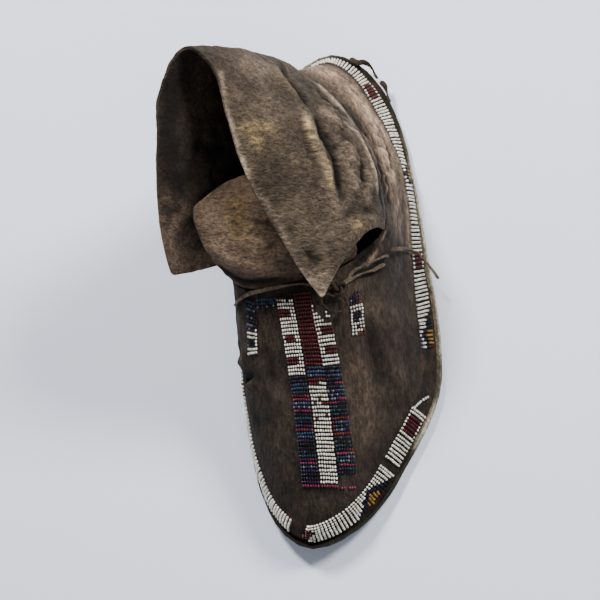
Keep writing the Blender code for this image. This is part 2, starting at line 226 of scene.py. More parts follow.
CAMERA_PLACE = Vector((99.1, -365.7, 732.0)) * MM
CAMERA_TARGET = Vector((-12.8, -24.5, 40.2)) * MM
PICTURE_UP = Vector((0.084, 0.900, 0.427))
FIELD_OF_VIEW = 19.6  # degrees

camera_data = bpy.data.cameras.new("camera")
camera_data.angle = math.radians(FIELD_OF_VIEW)
camera_data.clip_start = 0.01
camera = in_scene("camera", camera_data)
camera.matrix_world = aimed(CAMERA_PLACE, CAMERA_TARGET, PICTURE_UP)
bpy.context.scene.camera = camera
print("camera", round((CAMERA_PLACE - CAMERA_TARGET).length, 3), "m away")


# %% Floor and lamps
LAMPS = (
    # name, place and size in metres, power, colour
    ("window", (-0.45, 0.75, 1.05), 0.30, 27.0, (1.0, 0.985, 0.96)),
    ("second_window", (0.75, 0.45, 0.85), 0.40, 21.0, (1.0, 0.98, 0.95)),
    ("fill", (0.3, -1.1, 1.0), 1.0, 7.0, (0.95, 0.97, 1.0)),
)
FLOOR_REACH = 6.0  # metres each way
FLOOR_COLOUR = (0.66, 0.71, 0.84, 1.0)
SKY_COLOUR = (0.80, 0.84, 0.90, 1.0)
SKY_STRENGTH = 0.16


def lamp(name, place, size, power, colour):
    """A soft round lamp that shines at what the camera looks at."""
    data = bpy.data.lights.new(name, "AREA")
    data.shape = "DISK"
    data.size = size
    data.energy = power
    data.color = colour
    in_scene(name, data).matrix_world = aimed(Vector(place), CAMERA_TARGET, Vector((0.0, 1.0, 0.1)))


def plain_floor():
    """A level pale floor under the sole, which belongs to the stage and not to the shoe."""
    bm = bmesh.new()
    bmesh.ops.create_grid(bm, x_segments=1, y_segments=1, size=FLOOR_REACH)
    floor = in_scene("floor", mesh_from(bm, "floor"))
    material, _, shader = new_material("pale_floor", roughness=0.7)
    shader.inputs["Base Color"].default_value = FLOOR_COLOUR
    floor.data.materials.append(material)
    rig.stage(floor)


plain_floor()
for values in LAMPS:
    lamp(*values)
world = bpy.data.worlds.new("studio")
world.use_nodes = True
sky = world.node_tree.nodes["Background"]
sky.inputs["Color"].default_value = SKY_COLOUR
sky.inputs["Strength"].default_value = SKY_STRENGTH
bpy.context.scene.world = world
print("floor,", len(LAMPS), "lamps and a pale sky")

# %% [markdown]
# ## Thongs
#
# A tie is a strip cut from hide, a few millimetres wide, which twists as it is pulled. A curve with a
# round bevel looks like wire, so a flat ring is extruded along the route and turned a little at each
# step. The routes are those of the solid model's tubes.


# %% Sweep a strip along a route
SAMPLES = 12  # of the smooth curve, between two points of a route
RING_SPACING = 0.7 * MM
END_TAPER = (0.55, 0.9)  # how much of its width a strip has at its end, and a ring further in
HARD_EDGE = math.radians(50)


def smooth_route(points):
    """Points a ring's spacing apart on a smooth curve through the route's points, in metres."""
    knots = [Vector(p) * MM for p in points]
    fine = []
    for i in range(len(knots) - 1):
        p0, p1, p2, p3 = (knots[min(max(j, 0), len(knots) - 1)] for j in (i - 1, i, i + 1, i + 2))
        for k in range(SAMPLES):
            t = k / SAMPLES
            fine.append(
                0.5 * (2 * p1 + (p2 - p0) * t + (2 * p0 - 5 * p1 + 4 * p2 - p3) * t**2)
                + 0.5 * (3 * p1 - p0 - 3 * p2 + p3) * t**3
            )
    fine.append(knots[-1])
    lengths = np.cumsum([0.0] + [(b - a).length for a, b in zip(fine, fine[1:])])
    steps = max(2, round(lengths[-1] / RING_SPACING))
    wanted = np.linspace(0.0, lengths[-1], steps + 1)
    columns = [np.interp(wanted, lengths, [p[axis] for p in fine]) for axis in range(3)]
    return [Vector(p) for p in zip(*columns)]


def length_of(path):
    """The way along a path from end to end, in metres."""
    return sum((b - a).length for a, b in zip(path, path[1:]))


def new_piece(name, bm, *materials):
    """A finished bmesh as a piece of the shoe, smooth but for its hard edges, that rides on it."""
    mesh = mesh_from(bm, name)
    mesh.shade_smooth()
    mesh.set_sharp_from_angle(angle=HARD_EDGE)
    for material in materials:
        mesh.materials.append(material)
    piece = in_scene(name, mesh)
    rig.ride(piece, "root")
    return piece


def sweep(bm, path, width, thickness, twist, sides=10, closed=False):
    """Extrudes a flat ring along a path. The ring's frame is carried along and turned by the twist."""
    tangents = []
    for i in range(len(path)):
        before, after = (i - 1) % len(path), (i + 1) % len(path)
        if not closed:
            before, after = max(i - 1, 0), min(i + 1, len(path) - 1)
        tangents.append((path[after] - path[before]).normalized())
    side = Vector((0.0, 0.0, 1.0)).cross(tangents[0])
    if side.length < 0.1:
        side = Vector((1.0, 0.0, 0.0)).cross(tangents[0])
    frames = []
    for i, (point, tangent) in enumerate(zip(path, tangents)):
        side = (side - tangent * side.dot(tangent)).normalized()
        turned = Matrix.Rotation(twist * i / len(path), 3, tangent) @ side
        end = min(i, len(path) - 1 - i)
        taper = 1.0 if closed or end > 1 else END_TAPER[end]
        ring = Matrix((turned * width * taper, tangent.cross(turned) * thickness * taper, tangent))
        frames.append(Matrix.Translation(point) @ ring.transposed().to_4x4())
    start = bmesh.ops.create_circle(bm, segments=sides, radius=0.5, matrix=frames[0])["verts"]
    edges = list(dict.fromkeys(e for v in start for e in v.link_edges))
    first_edges = edges
    for old, new in zip(frames, frames[1:]):
        grown = bmesh.ops.extrude_edge_only(bm, edges=edges)["geom"]
        verts = [g for g in grown if isinstance(g, bmesh.types.BMVert)]
        edges = [g for g in grown if isinstance(g, bmesh.types.BMEdge)]
        bmesh.ops.transform(bm, matrix=new @ old.inverted(), verts=verts)
    if closed:
        bmesh.ops.bridge_loops(bm, edges=first_edges + edges)
    else:
        bmesh.ops.holes_fill(bm, edges=bm.edges, sides=sides)


def strip(name, points, width, thickness, twist, material):
    """A cut strip of hide as one piece, twisted by so many radians, and the path that it follows."""
    path = smooth_route(points)
    bm = bmesh.new()
    sweep(bm, path, width * MM, thickness * MM, twist)
    bmesh.ops.recalc_face_normals(bm, faces=bm.faces)
    return new_piece(name, bm, material), path


# %% [markdown]
# ## Finishes
#
# Tanned hide has no gloss. Its colour is cloudy at three sizes: broad patches from smoke and wear,
# blotches a few millimetres across, and the nap itself. One function builds that from noise on object
# coordinates, so that every piece of hide is a variation on one recipe. Where a place has its own look,
# such as a rubbed edge or a stain, the mesh carries an attribute called wear_and_painted_light, whose red
# is rubbed pale and, on some ridges and rims, painted highlight, whose green is stained, and whose blue
# is soiled and, in troughs and under flaps, painted shade. Its alpha paints shade into troughs and light
# onto ridges.


# %% Small helpers for node trees
def feed(tree, socket, value):
    """Gives a socket its value, or the output of another node."""
    if isinstance(value, bpy.types.NodeSocket):
        tree.links.new(value, socket)
    else:
        socket.default_value = value


def put(tree, kind, **values):
    """A new node with its settings and what its sockets are fed, whichever a name belongs to."""
    made = tree.nodes.new(kind)
    for name, value in values.items():
        label = name.replace("_", " ")
        socket = next((s for s in made.inputs if s.name.lower() == label and s.enabled), None)
        if socket is None:
            setattr(made, name, value)
        else:
            feed(tree, socket, value)
    return made


def mix(tree, factor, first, second, blend="MIX"):
    """A colour mix. Each input is a socket, a colour or a number."""
    made = put(tree, "ShaderNodeMix", data_type="RGBA", blend_type=blend)
    for number, value in ((0, factor), (6, first), (7, second)):
        feed(tree, made.inputs[number], value)
    return made.outputs[2]


def math_node(tree, operation, a, b):
    """A sum or a product of two values. A product is kept between 0 and 1."""
    made = put(tree, "ShaderNodeMath", operation=operation, use_clamp=operation == "MULTIPLY")
    feed(tree, made.inputs[0], a)
    feed(tree, made.inputs[1], b)
    return made.outputs[0]


def clouds(tree, where, scale, detail, roughness=0.6, distortion=0.0):
    """Noise at the coordinates where, of so many blotches to the metre."""
    made = put(
        tree, "ShaderNodeTexNoise", vector=where, scale=scale, detail=detail, roughness=roughness,
        distortion=distortion
    )
    return made.outputs["Fac"]


def spread(tree, value, low, high):
    """Stretches the middle of a noise to the whole of 0 to 1."""
    return put(tree, "ShaderNodeMapRange", value=value, from_min=low, from_max=high).outputs["Result"]


def rgb(r, g, b):
    """A colour with full cover."""
    return (r, g, b, 1.0)


# %% Tanned hide
def stretched(tree, where, lie):
    """Coordinates in which a noise runs along the nap: a small number in lie draws it out that way."""
    made = put(tree, "ShaderNodeVectorMath", operation="MULTIPLY")
    feed(tree, made.inputs[0], where)
    feed(tree, made.inputs[1], lie)
    return made.outputs["Vector"]


def bump(tree, height, **values):
    """Relief that the light sees and the mesh doesn't have, on top of other relief if normal is given."""
    return put(tree, "ShaderNodeBump", height=height, **values).outputs["Normal"]


def hide(name, deep, pale, rubbed_and_lit, stained, soiled_and_shaded, lie=(1.0, 1.0, 1.0), nap=1.0, roughness=0.88):
    """A finish of tanned hide from its two ground colours and the colours of its rubs and painted highlight, stains,
    and soil and painted shade.
    """
    material, tree, shader = new_material(name, roughness)
    where = tree.nodes.new("ShaderNodeTexCoord").outputs["Object"]
    along = stretched(tree, where, lie)
    wear_and_painted_light = put(tree, "ShaderNodeAttribute", attribute_name="wear_and_painted_light")
    parts = put(tree, "ShaderNodeSeparateColor", color=wear_and_painted_light.outputs["Color"])

    # For each cloud its scale, detail, roughness and distortion, then the part of it that is stretched.
    patches = spread(tree, clouds(tree, where, 42.0, 5.0, 0.62, 0.4), 0.32, 0.68)
    blotches = spread(tree, clouds(tree, where, 190.0, 6.0, 0.7), 0.3, 0.7)
    flecks = spread(tree, clouds(tree, along, 520.0, 4.0, 0.65, 0.3), 0.30, 0.70)
    grain = spread(tree, clouds(tree, along, 980.0, 3.0, 0.7), 0.25, 0.75)
    colour = mix(tree, patches, deep, pale)
    colour = mix(tree, math_node(tree, "MULTIPLY", blotches, 0.45), colour, deep)
    # Red lightens for rubs and painted highlight, green stains, blue darkens for soil and painted shade.
    for channel, cloud, least, tone in (
        ("Red", blotches, 0.45, rubbed_and_lit), ("Green", flecks, 0.3, stained), ("Blue", patches, 0.55, soiled_and_shaded)
    ):
        uneven = math_node(tree, "ADD", cloud, least)
        colour = mix(tree, math_node(tree, "MULTIPLY", parts.outputs[channel], uneven), colour, tone)
    # The first multiply is painted shade and light: the alpha takes the colour down to a tenth in the deepest troughs
    # and up to nearly twice on the highest ridges. The other two are the hide's own flecks and grain.
    for value, low, high in (
        (wear_and_painted_light.outputs["Alpha"], rgb(0.10, 0.09, 0.08), rgb(1.95, 1.95, 1.95)),
        (flecks, rgb(0.50, 0.49, 0.50), rgb(1.55, 1.53, 1.48)),
        (grain, rgb(0.42, 0.40, 0.39), rgb(1.66, 1.63, 1.58)),
    ):
        colour = mix(tree, 1.0, colour, mix(tree, value, low, high), "MULTIPLY")
    tree.links.new(colour, shader.inputs["Base Color"])

    shader.inputs["Specular IOR Level"].default_value = 0.2
    wrinkles = clouds(tree, where, 150.0, 4.0, 0.55, 1.2)
    ripples = clouds(tree, along, 430.0, 3.0, 0.6, 0.6)
    relief = bump(tree, wrinkles, strength=0.6 * nap, distance=1.8 * MM)
    relief = bump(tree, ripples, strength=0.8 * nap, distance=0.9 * MM, normal=relief)
    relief = bump(tree, grain, strength=0.9 * nap, distance=0.7 * MM, normal=relief)
    tree.links.new(relief, shader.inputs["Normal"])
    return material


# Lies of the nap, as what each axis of the noise is multiplied by.
DOWN_THE_FOOT = (1.0, 0.3, 0.4)
ACROSS_THE_FLAP = (0.35, 1.0, 1.0)
ACROSS_THE_TONGUE = (0.6, 1.0, 1.0)
# Each hide's last three colours are for rubs and painted highlight, for stains, and for soil and painted shade.
VAMP_HIDE = hide(
    "vamp_hide", rgb(0.0125, 0.0096, 0.0074), rgb(0.040, 0.0275, 0.0195), rgb(0.245, 0.180, 0.128),
    rgb(0.28, 0.105, 0.055), rgb(0.0095, 0.0078, 0.0062), DOWN_THE_FOOT
)
CUFF_HIDE = hide(
    "cuff_hide", rgb(0.031, 0.0235, 0.0165), rgb(0.074, 0.0565, 0.040), rgb(0.21, 0.165, 0.125),
    rgb(0.33, 0.245, 0.110), rgb(0.016, 0.012, 0.009), ACROSS_THE_FLAP, nap=1.2
)
CUFF_LINING = hide(
    "cuff_inside", rgb(0.030, 0.0205, 0.0140), rgb(0.060, 0.043, 0.030), rgb(0.15, 0.105, 0.080),
    rgb(0.05, 0.035, 0.02), rgb(0.008, 0.006, 0.005)
)
TONGUE_HIDE = hide(
    "tongue_hide", rgb(0.048, 0.033, 0.0215), rgb(0.086, 0.060, 0.042), rgb(0.125, 0.090, 0.064),
    rgb(0.125, 0.085, 0.032), rgb(0.014, 0.010, 0.007), ACROSS_THE_TONGUE, nap=0.9
)
RAWHIDE = hide(
    "rawhide", rgb(0.022, 0.018, 0.010), rgb(0.070, 0.058, 0.038), rgb(0.34, 0.32, 0.25),
    rgb(0.16, 0.03, 0.02), rgb(0.010, 0.009, 0.005), nap=0.7, roughness=0.72
)
THONG_HIDE = hide(
    "thong_hide", rgb(0.026, 0.019, 0.013), rgb(0.075, 0.057, 0.041), rgb(0.20, 0.165, 0.13),
    rgb(0.15, 0.1, 0.05), rgb(0.008, 0.006, 0.005), nap=0.8, roughness=0.8
)
DARK_THONG = hide(
    "dark_thong", rgb(0.008, 0.0055, 0.0040), rgb(0.040, 0.026, 0.017), rgb(0.13, 0.095, 0.07),
    rgb(0.15, 0.1, 0.05), rgb(0.006, 0.005, 0.004), roughness=0.8
)
print("seven finishes of hide")

# %% [markdown]
# ## The tie
#
# One thong goes through slits on both sides of the throat and is knotted over the lane of beads. Its
# loose loop and its end are cords: they are limp, and each has the length that shows. The knot is a
# closed overhand turn, drawn with the classic formula for that knot.

# %% Routes of the tie
TIE_ACROSS = (
    (-40, -30.6, 53.2), (-38.8, -31.3, 56.3), (-35.9, -30.6, 59.4), (-32.4, -30, 61.6), (-28.3, -29.2, 61.7),
    (-23.5, -28.3, 61.4), (-18.2, -27.4, 60.9), (-13.4, -26.6, 60.3), (-9.1, -26.2, 59.6),
    (-4.9, -26.7, 58.5), (-0.7, -27.3, 56.8), (3.6, -27.4, 55.4)
)
TIE_STRANDS = (
    ((8.4, -25.6, 55.2), (10.6, -23.2, 53.5), (12.3, -20.3, 53.2), (14.4, -18.1, 52.6), (17, -16.5, 51.5),
     (19.2, -14.6, 50.8), (21.4, -13.5, 49.7), (24.3, -10.9, 47.4), (26.6, -8.7, 45), (27.9, -7.4, 42.6)),
    ((8.4, -26, 54.4), (10.6, -23.6, 52.8), (13.8, -21.2, 51.6), (18.1, -18.5, 49.9), (21.5, -16.6, 47.8),
     (23.4, -15, 46.5), (25.3, -13.3, 45.2), (26.4, -12.2, 43)),
)
TIE_LOOP = (
    (5.9, -29.2, 54.6), (4.2, -30.9, 54.8), (2.1, -30.6, 56.3), (-0.3, -31.9, 57.7), (-0.7, -35.2, 57.6),
    (1.5, -38.2, 56.3), (4.9, -39, 54.7), (8.4, -37.5, 53.1), (10.2, -34.3, 52.3), (9.2, -31.3, 52.6),
    (7.6, -29.3, 53.8)
)
TIE_END = (
    (29.3, -5.1, 42.7), (30.4, -4.3, 42.4), (31.9, -3.4, 40.7), (33.7, 1.2, 31.6), (35.2, 5.1, 23.2),
    (36.5, 7.3, 17), (39, 6.9, 15.4), (40.3, 5.2, 14), (42.1, 3.2, 13.8), (44.3, 0.2, 12.8),
    (46, -2.3, 11.5), (47.7, -5, 10.3)
)
THONG_WIDTH = 2.0
THONG_THICKNESS = 1.0
STRAND_WIDTH = 1.7
STRAND_THICKNESS = 0.9
STRAND_TWIST = 1.6  # radians, twice for the first strand and three times for the second

# %% Cut and place the thongs
tie_across, _ = strip("tie_across_thong", TIE_ACROSS, THONG_WIDTH, THONG_THICKNESS, 4.0, THONG_HIDE)
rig.replaces(tie_across, "tie_across")
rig.slot(tie_across, "thong")

bm = bmesh.new()
for turns, points in enumerate(TIE_STRANDS, start=2):
    sweep(bm, smooth_route(points), STRAND_WIDTH * MM, STRAND_THICKNESS * MM, STRAND_TWIST * turns)
bmesh.ops.recalc_face_normals(bm, faces=bm.faces)
tie_strands = new_piece("tie_strand_thongs", bm, THONG_HIDE)
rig.replaces(tie_strands, "tie_strands")
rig.slot(tie_strands, "thong")

tie_loop, loop_path = strip("tie_loop_thong", TIE_LOOP, THONG_WIDTH, THONG_THICKNESS, 2.5, DARK_THONG)
tie_end, end_path = strip("tie_end_thong", TIE_END, THONG_WIDTH, THONG_THICKNESS, 3.5, THONG_HIDE)
for piece, node, path, far_end in (
    (tie_loop, "tie_loop", loop_path, "object"),
    (tie_end, "tie_end", end_path, "bare"),
):
    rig.replaces(piece, node)
    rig.slot(piece, "thong")
    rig.cord(
        piece, exit=path[0], length=length_of(path), diameter=THONG_WIDTH * MM, far_end=far_end,
        stiffness="limp", lay="loose", path=path
    )
    print(piece.name, "is", round(length_of(path) * 1000, 1), "mm long")

# %% Tie the knot
KNOT_CENTRE = Vector((6.8, -27.6, 55.8)) * MM
KNOT_SIZE = 1.12  # millimetres for each unit of the formula, whose knot is 6 units across
KNOT_WIDTH = 1.9
KNOT_THICKNESS = 1.3
KNOT_RINGS = 60
knot_face = Matrix.Rotation(math.radians(35), 3, "Y") @ Matrix.Rotation(math.radians(25), 3, "X")
knot_path = []
for i in range(KNOT_RINGS):
    t = 2 * math.pi * i / KNOT_RINGS
    turn = (math.sin(t) + 2 * math.sin(2 * t), math.cos(t) - 2 * math.cos(2 * t), -math.sin(3 * t))
    knot_path.append(KNOT_CENTRE + knot_face @ Vector(turn) * KNOT_SIZE * MM)
bm = bmesh.new()
sweep(bm, knot_path, KNOT_WIDTH * MM, KNOT_THICKNESS * MM, 0.0, closed=True)
bmesh.ops.recalc_face_normals(bm, faces=bm.faces)
tie_knot = new_piece("tie_knot_thong", bm, DARK_THONG)
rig.replaces(tie_knot, "tie_knot")
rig.slot(tie_knot, "thong")
print("the knot has", len(tie_knot.data.polygons), "faces")

# %% [markdown]
# ## Skins from the solid model
#
# The solid model of a soft piece is a closed wall. To crease it, only its outer skin is wanted: the
# wall is cut along its hard edges, the outer of the two large faces is kept and made finer, and after
# the creases are pressed a Solidify gives the wall back. Both sides then crease together, as hide does.


# %% Take the outer skin of a node
WELD = 2e-5  # corners nearer than this, in metres, are one
EDGE_OF_THE_WALL = math.radians(58)


def islands(bm):
    """The sets of faces that hang together."""
    left = set(bm.faces)
    while left:
        island = set()
        to_visit = [left.pop()]
        while to_visit:
            face = to_visit.pop()
            island.add(face)
            for edge in face.edges:
                for other in edge.link_faces:
                    if other in left:
                        left.remove(other)
                        to_visit.append(other)
        yield island


def outer_skin(node, inside, levels):
    """The outer face of a node's wall, as a fine open mesh of quads. inside is a point within it."""
    bm = bmesh.new()
    bm.from_mesh(frame["nodes"][node].data)
    bmesh.ops.remove_doubles(bm, verts=bm.verts, dist=WELD)
    hard = [e for e in bm.edges if len(e.link_faces) == 2 and e.calc_face_angle() > EDGE_OF_THE_WALL]
    bmesh.ops.split_edges(bm, edges=hard)

    def outwardness(island):
        away = [(f.calc_center_median() - inside).normalized() for f in island]
        return sum(f.normal.dot(out) * f.calc_area() for f, out in zip(island, away))

    kept = max(islands(bm), key=outwardness)
    bmesh.ops.delete(bm, geom=[f for f in bm.faces if f not in kept], context="FACES")
    bmesh.ops.join_triangles(
        bm, faces=bm.faces, angle_face_threshold=math.radians(40), angle_shape_threshold=math.radians(50)
    )
    loose = sum(1 for f in bm.faces if len(f.verts) == 3)
    print(node, "skin:", len(bm.faces), "faces,", loose, "of them triangles")
    rough = in_scene(node, mesh_from(bm, node))
    finer = rough.modifiers.new("finer", "SUBSURF")
    finer.levels = finer.render_levels = levels
    skin = bmesh.new()
    evaluated = rough.evaluated_get(bpy.context.evaluated_depsgraph_get())
    skin.from_mesh(evaluated.to_mesh())
    bpy.data.objects.remove(rough)
    return skin


# %% [markdown]
# ## Creases
#
# Old soft hide is full of folds. They aren't random: they start at seams and corners and run where
# the hide was bent. So each crease is listed: a short route on the skin, its half width and
# its height, a trough if that is negative. All creases add up, and fade out at their ends. A little
# noise makes the hide between them uneven. A fold that is also painted has a name, because its route stands
# in two lists: a ridge is painted lighter, part rubbing and part painted highlight, and a trough darker, painted
# shade.


# %% Press creases into a skin
FADE = 0.25  # the share of a crease at each end over which it dies out
CRUMPLE_SHIFT = Vector((7, 3, 5))  # takes a crumple from another part of the noise


def nearness(points, route, width):
    """How near each point is to a route, from 1 on it to 0 away from it, and how far along it lies."""
    knots = np.array(route, float) * MM
    nearest = np.full(len(points), np.inf)
    along = np.zeros(len(points))
    if len(knots) == 1:
        nearest = np.linalg.norm(points - knots[0], axis=1)
        along[:] = 0.5
    for i, (a, b) in enumerate(zip(knots, knots[1:])):
        t = np.clip((points - a) @ (b - a) / ((b - a) @ (b - a)), 0.0, 1.0)
        distance = np.linalg.norm(points - a - t[:, None] * (b - a), axis=1)
        closer = distance < nearest
        nearest[closer] = distance[closer]
        along[closer] = (i + t[closer]) / (len(knots) - 1)
    return np.exp(-((nearest / (width * MM)) ** 2)), along


def points_of(bm):
    """The places of a mesh's points as an array."""
    return np.array([v.co for v in bm.verts])


def press(bm, creases, roughness, crumples=()):
    """Moves a skin's points along its normals by the creases and by noise of (size, height) rows.

    A crumple is a route, a width, and the size and height of the noise near it.
    """
    bm.normal_update()
    points = points_of(bm)
    normals = np.array([v.normal for v in bm.verts])
    height = np.zeros(len(points))
    for route, width, rise in creases:
        near, along = nearness(points, route, width)
        fade = np.clip(np.minimum(along, 1.0 - along) / FADE, 0.0, 1.0)
        height += rise * near * fade * fade * (3 - 2 * fade)
    for size, rise in roughness:
        height += [rise * noise.noise(Vector(p) / (size * MM)) for p in points]
    for route, width, size, rise in crumples:
        near, _ = nearness(points, route, width)
        height += near * [rise * noise.noise(Vector(p) / (size * MM) + CRUMPLE_SHIFT) for p in points]
    for vert, place in zip(bm.verts, points + normals * height[:, None] * MM):
        vert.co = place
    return height


def thicken(name, bm, wall, outside, inside, edge_softness=0.35):
    """Gives a skin its wall inwards, with a softly rounded cut edge, as one piece."""
    piece = new_piece(name, bm, outside, inside)
    solid = piece.modifiers.new("wall", "SOLIDIFY")
    solid.thickness = wall * MM
    solid.offset = -1.0
    solid.material_offset = 1
    solid.use_rim = True
    soft = piece.modifiers.new("cut_edge", "BEVEL")
    soft.width = edge_softness * MM
    soft.segments = 2
    soft.limit_method = "ANGLE"
    soft.angle_limit = math.radians(55)
    return piece


# %% Rub, stain and soil a skin, and paint shade into its troughs and light onto its ridges
# Painted shade and light: over this span of crease height, troughs are painted darker and ridges lighter.
RELIEF_SHADING_SPAN = 2.6  # millimetres from the deepest trough to the highest ridge that change the colour


def weather_and_shade(bm, rubbed_and_lit, stained, soiled_and_shaded, height=0.0):
    """Writes the wear_and_painted_light attribute. Each dab is a route, its width and its strength.

    Its alpha is painted shade and light: half for a level place, less in a trough, where it paints shade, and more on
    a ridge, where it paints highlight.
    """
    points = points_of(bm)
    wear_and_painted_light = np.zeros((len(points), 3))
    for channel, dabs in enumerate((rubbed_and_lit, stained, soiled_and_shaded)):
        for route, width, strength in dabs:
            near, _ = nearness(points, route, width)
            wear_and_painted_light[:, channel] = np.maximum(wear_and_painted_light[:, channel], near * strength)
    # The alpha is painted shade in troughs and painted highlight on ridges, taken from the pressed height.
    relief = np.clip(0.5 + (np.zeros(len(points)) + height) / RELIEF_SHADING_SPAN, 0.0, 1.0)
    layer = bm.verts.layers.float_color.new("wear_and_painted_light")
    for vert, (r, g, b), high in zip(bm.verts, wear_and_painted_light, relief):
        vert[layer] = (r, g, b, high)


# %% [markdown]
# ## The upper
#
# The vamp and the quarters are one hide, gathered to the sole from the inside and closed at the heel.
# Where it is worn the hide is dark and greasy, and the heel stays pale and pinkish. Its folds hang from
# the collar and from the ends of the tie. Their list starts at the heel, goes forward along the outer
# side and back along the inner side, and ends with a few small folds at the heel.

# %% Fold the upper
UPPER_WALL = 1.6
# Folds that are also painted: ridges lighter, part rubbing and part painted highlight, and troughs darker, painted
# shade.
COLLAR_RIDGE = ((20.8, 52.6, 46.8), (24.8, 46, 44.4), (26.8, 38.4, 44.2), (28.4, 28, 45), (29.2, 19, 45.6))
THROAT_RIDGE = ((17.5, -16, 49.6), (21.5, -12, 49), (25.5, -6, 48.6), (28.5, 0.5, 48.4))
BALL_TROUGH = ((-43.2, -55, 22), (-41.5, -55.5, 25.8), (-37.1, -57.7, 34.1), (-34.1, -58, 37.2))
SLIT_TROUGH = ((-39.5, -30.9, 49.6), (-36.1, -30.6, 56), (-31.6, -30, 59))
UPPER_CREASES = (
    # route, half width, rise
    (((1.4, 93.4, 37.8), (9.4, 84.8, 38.6), (14.2, 78.5, 38.4)), 1.8, -1.0),
    (((10.1, 69.4, 49.4), (14.9, 63.2, 49.3), (18.9, 57.9, 47.2), (22.5, 51.8, 44.9), (25, 43.6, 44.8),
      (26.9, 34.3, 46.2), (28.1, 25.3, 47.4), (29, 15.3, 47.3)), 1.3, -1.5),
    (COLLAR_RIDGE, 1.3, 1.1),
    (((23.6, 47.1, 45.5), (26.7, 41.9, 42.6), (28.5, 31.9, 43.7), (29.5, 22.3, 44.4), (29.7, 14.6, 45.2)),
      1.4, -1.4),
    (((25.5, 64.6, 30.1), (28.4, 60, 27.5), (30, 50.4, 30.6), (30.8, 38, 34.6)), 2.2, -1.1),
    (((28.6, 53.7, 31.7), (30.8, 43.6, 32.5), (31.8, 33.7, 33.3)), 2.4, 1.0),
    (((5.9, 86.6, 40.5), (12.2, 72.8, 45.8), (17, 66, 42)), 2.6, 1.0),
    (((32.3, 20.7, 32.8), (32.2, 5.7, 32.2), (31.3, -4.9, 32.2)), 2.2, -1.0),
    (((22.3, -8, 49.2), (27, -2.4, 47.6), (29.4, 3.6, 45.8)), 1.4, -1.0),
    (((15, -14.5, 51.6), (19, -11, 50.6), (23, -5, 50.3)), 1.6, -1.4),
    (THROAT_RIDGE, 1.1, 0.8),
    (((14.4, -18.3, 50.5), (21.6, -15.8, 45.8), (28, -9.2, 38.4)), 2.2, -1.0),
    (((32, -2.9, 30.3), (29.6, -11, 32.8), (27, -20, 34)), 3.0, 0.8),
    (((7.4, -36, 47.7), (11.8, -52.4, 38.4), (15.9, -71.4, 27.2)), 3.4, 0.7),
    (((17.5, -34.3, 42.1), (18.9, -51, 33.7), (21.9, -65.7, 24.2)), 3.0, -0.8),
    (((24.9, -46.5, 30.1), (27.1, -52.9, 24.8), (29, -66, 17)), 3.4, 0.8),
    (((31, -24.6, 26.4), (32.6, -44.3, 20.3), (33, -63.2, 12.8)), 3.0, -0.6),
    (BALL_TROUGH, 1.9, -3.2),
    (((-40.4, -59, 26), (-37, -60, 32.6), (-33.1, -61, 36.2)), 2.2, 2.0),
    (((-44, -46, 27), (-41, -49, 33), (-37, -50, 39)), 3.4, 2.4),
    (((-37.8, -70.8, 24.3), (-35.1, -75, 25.8), (-32.6, -78.9, 26.8)), 2.2, -1.0),
    (SLIT_TROUGH, 2.0, -1.6),
    (((-42.5, -34, 45), (-40.5, -33, 52), (-36, -30, 60)), 1.6, 2.2),
    (((-28, -46, 48.2), (-26.8, -55, 43.8), (-23.5, -65.6, 40.1)), 2.2, -0.8),
    (((-26.5, -95.4, 24.5), (-19.7, -110.4, 21.4), (-12.7, -117.9, 19.2)), 2.4, -0.8),
    (((-21.2, -90.9, 30), (-18.5, -97, 28.4), (-17, -108, 23.5)), 2.6, -0.7),
    (((-44, 10, 40), (-42.5, -8, 37), (-44.5, -24, 40)), 3.2, -1.2),
    (((-36, 60, 44), (-38.5, 40, 38), (-41, 22, 42)), 2.8, -1.2),
    (((-30, 88, 34), (-34, 66, 30), (-36, 48, 33)), 3.4, 1.0),
    (((-14, 101, 44), (-20, 96, 36), (-26, 92, 33)), 2.4, -1.1),
    (((0.1, 96.4, 35.6), (6.6, 95.1, 30.4), (12.8, 93.8, 22.5), (17.3, 87.7, 19)), 1.5, -1.0),
    (((8.8, 73.6, 48.6), (15.3, 66.8, 46.3), (20.9, 61, 41.3), (24.1, 52.9, 40.6), (26.7, 43.2, 41.3)), 1.4,
      -1.2),
    (((22.1, 74, 25.1), (25.9, 66.1, 23.5), (28.9, 53.2, 27.9), (30.5, 40.2, 33.3)), 1.5, -0.9),
)
UPPER_CRUMPLES = (
    # route, width, size of the noise, height
    (((9, 85, 40), (22, 58, 40), (30, 28, 40)), 13.0, 4.0, 1.3),
    (((2, 98, 30), (20, 76, 30), (31, 34, 30)), 13.0, 2.8, 1.1),
    (((-20, 100, 34), (-36, 56, 36), (-43, 0, 40)), 12.0, 5.0, 0.9),
    (((-42, -40, 34), (-36, -62, 32)), 10.0, 5.0, 0.9),
)
UNDER_THE_BORDER = (
    (-14, -126, 14), (1, -121, 13), (14, -109, 11), (23, -95, 9), (30, -79, 9), (37, -63, 8), (40, -46, 8),
    (40, -29, 8), (39, -12, 8), (38, 6, 9), (37, 24, 10), (36, 42, 10), (34, 60, 10), (29, 77, 10),
    (22, 93, 10), (14, 107, 9), (3, 118, 8), (-9, 118, 8), (-20, 108, 9), (-25, 92, 10), (-27, 74, 12),
    (-28, 56, 13), (-31, 38, 13), (-34, 20, 14), (-37, 3, 13), (-41, -15, 12), (-44, -33, 12),
    (-44, -51, 11), (-42, -68, 10), (-39, -85, 10), (-34, -102, 10), (-26, -117, 12), (-14, -126, 14)
)
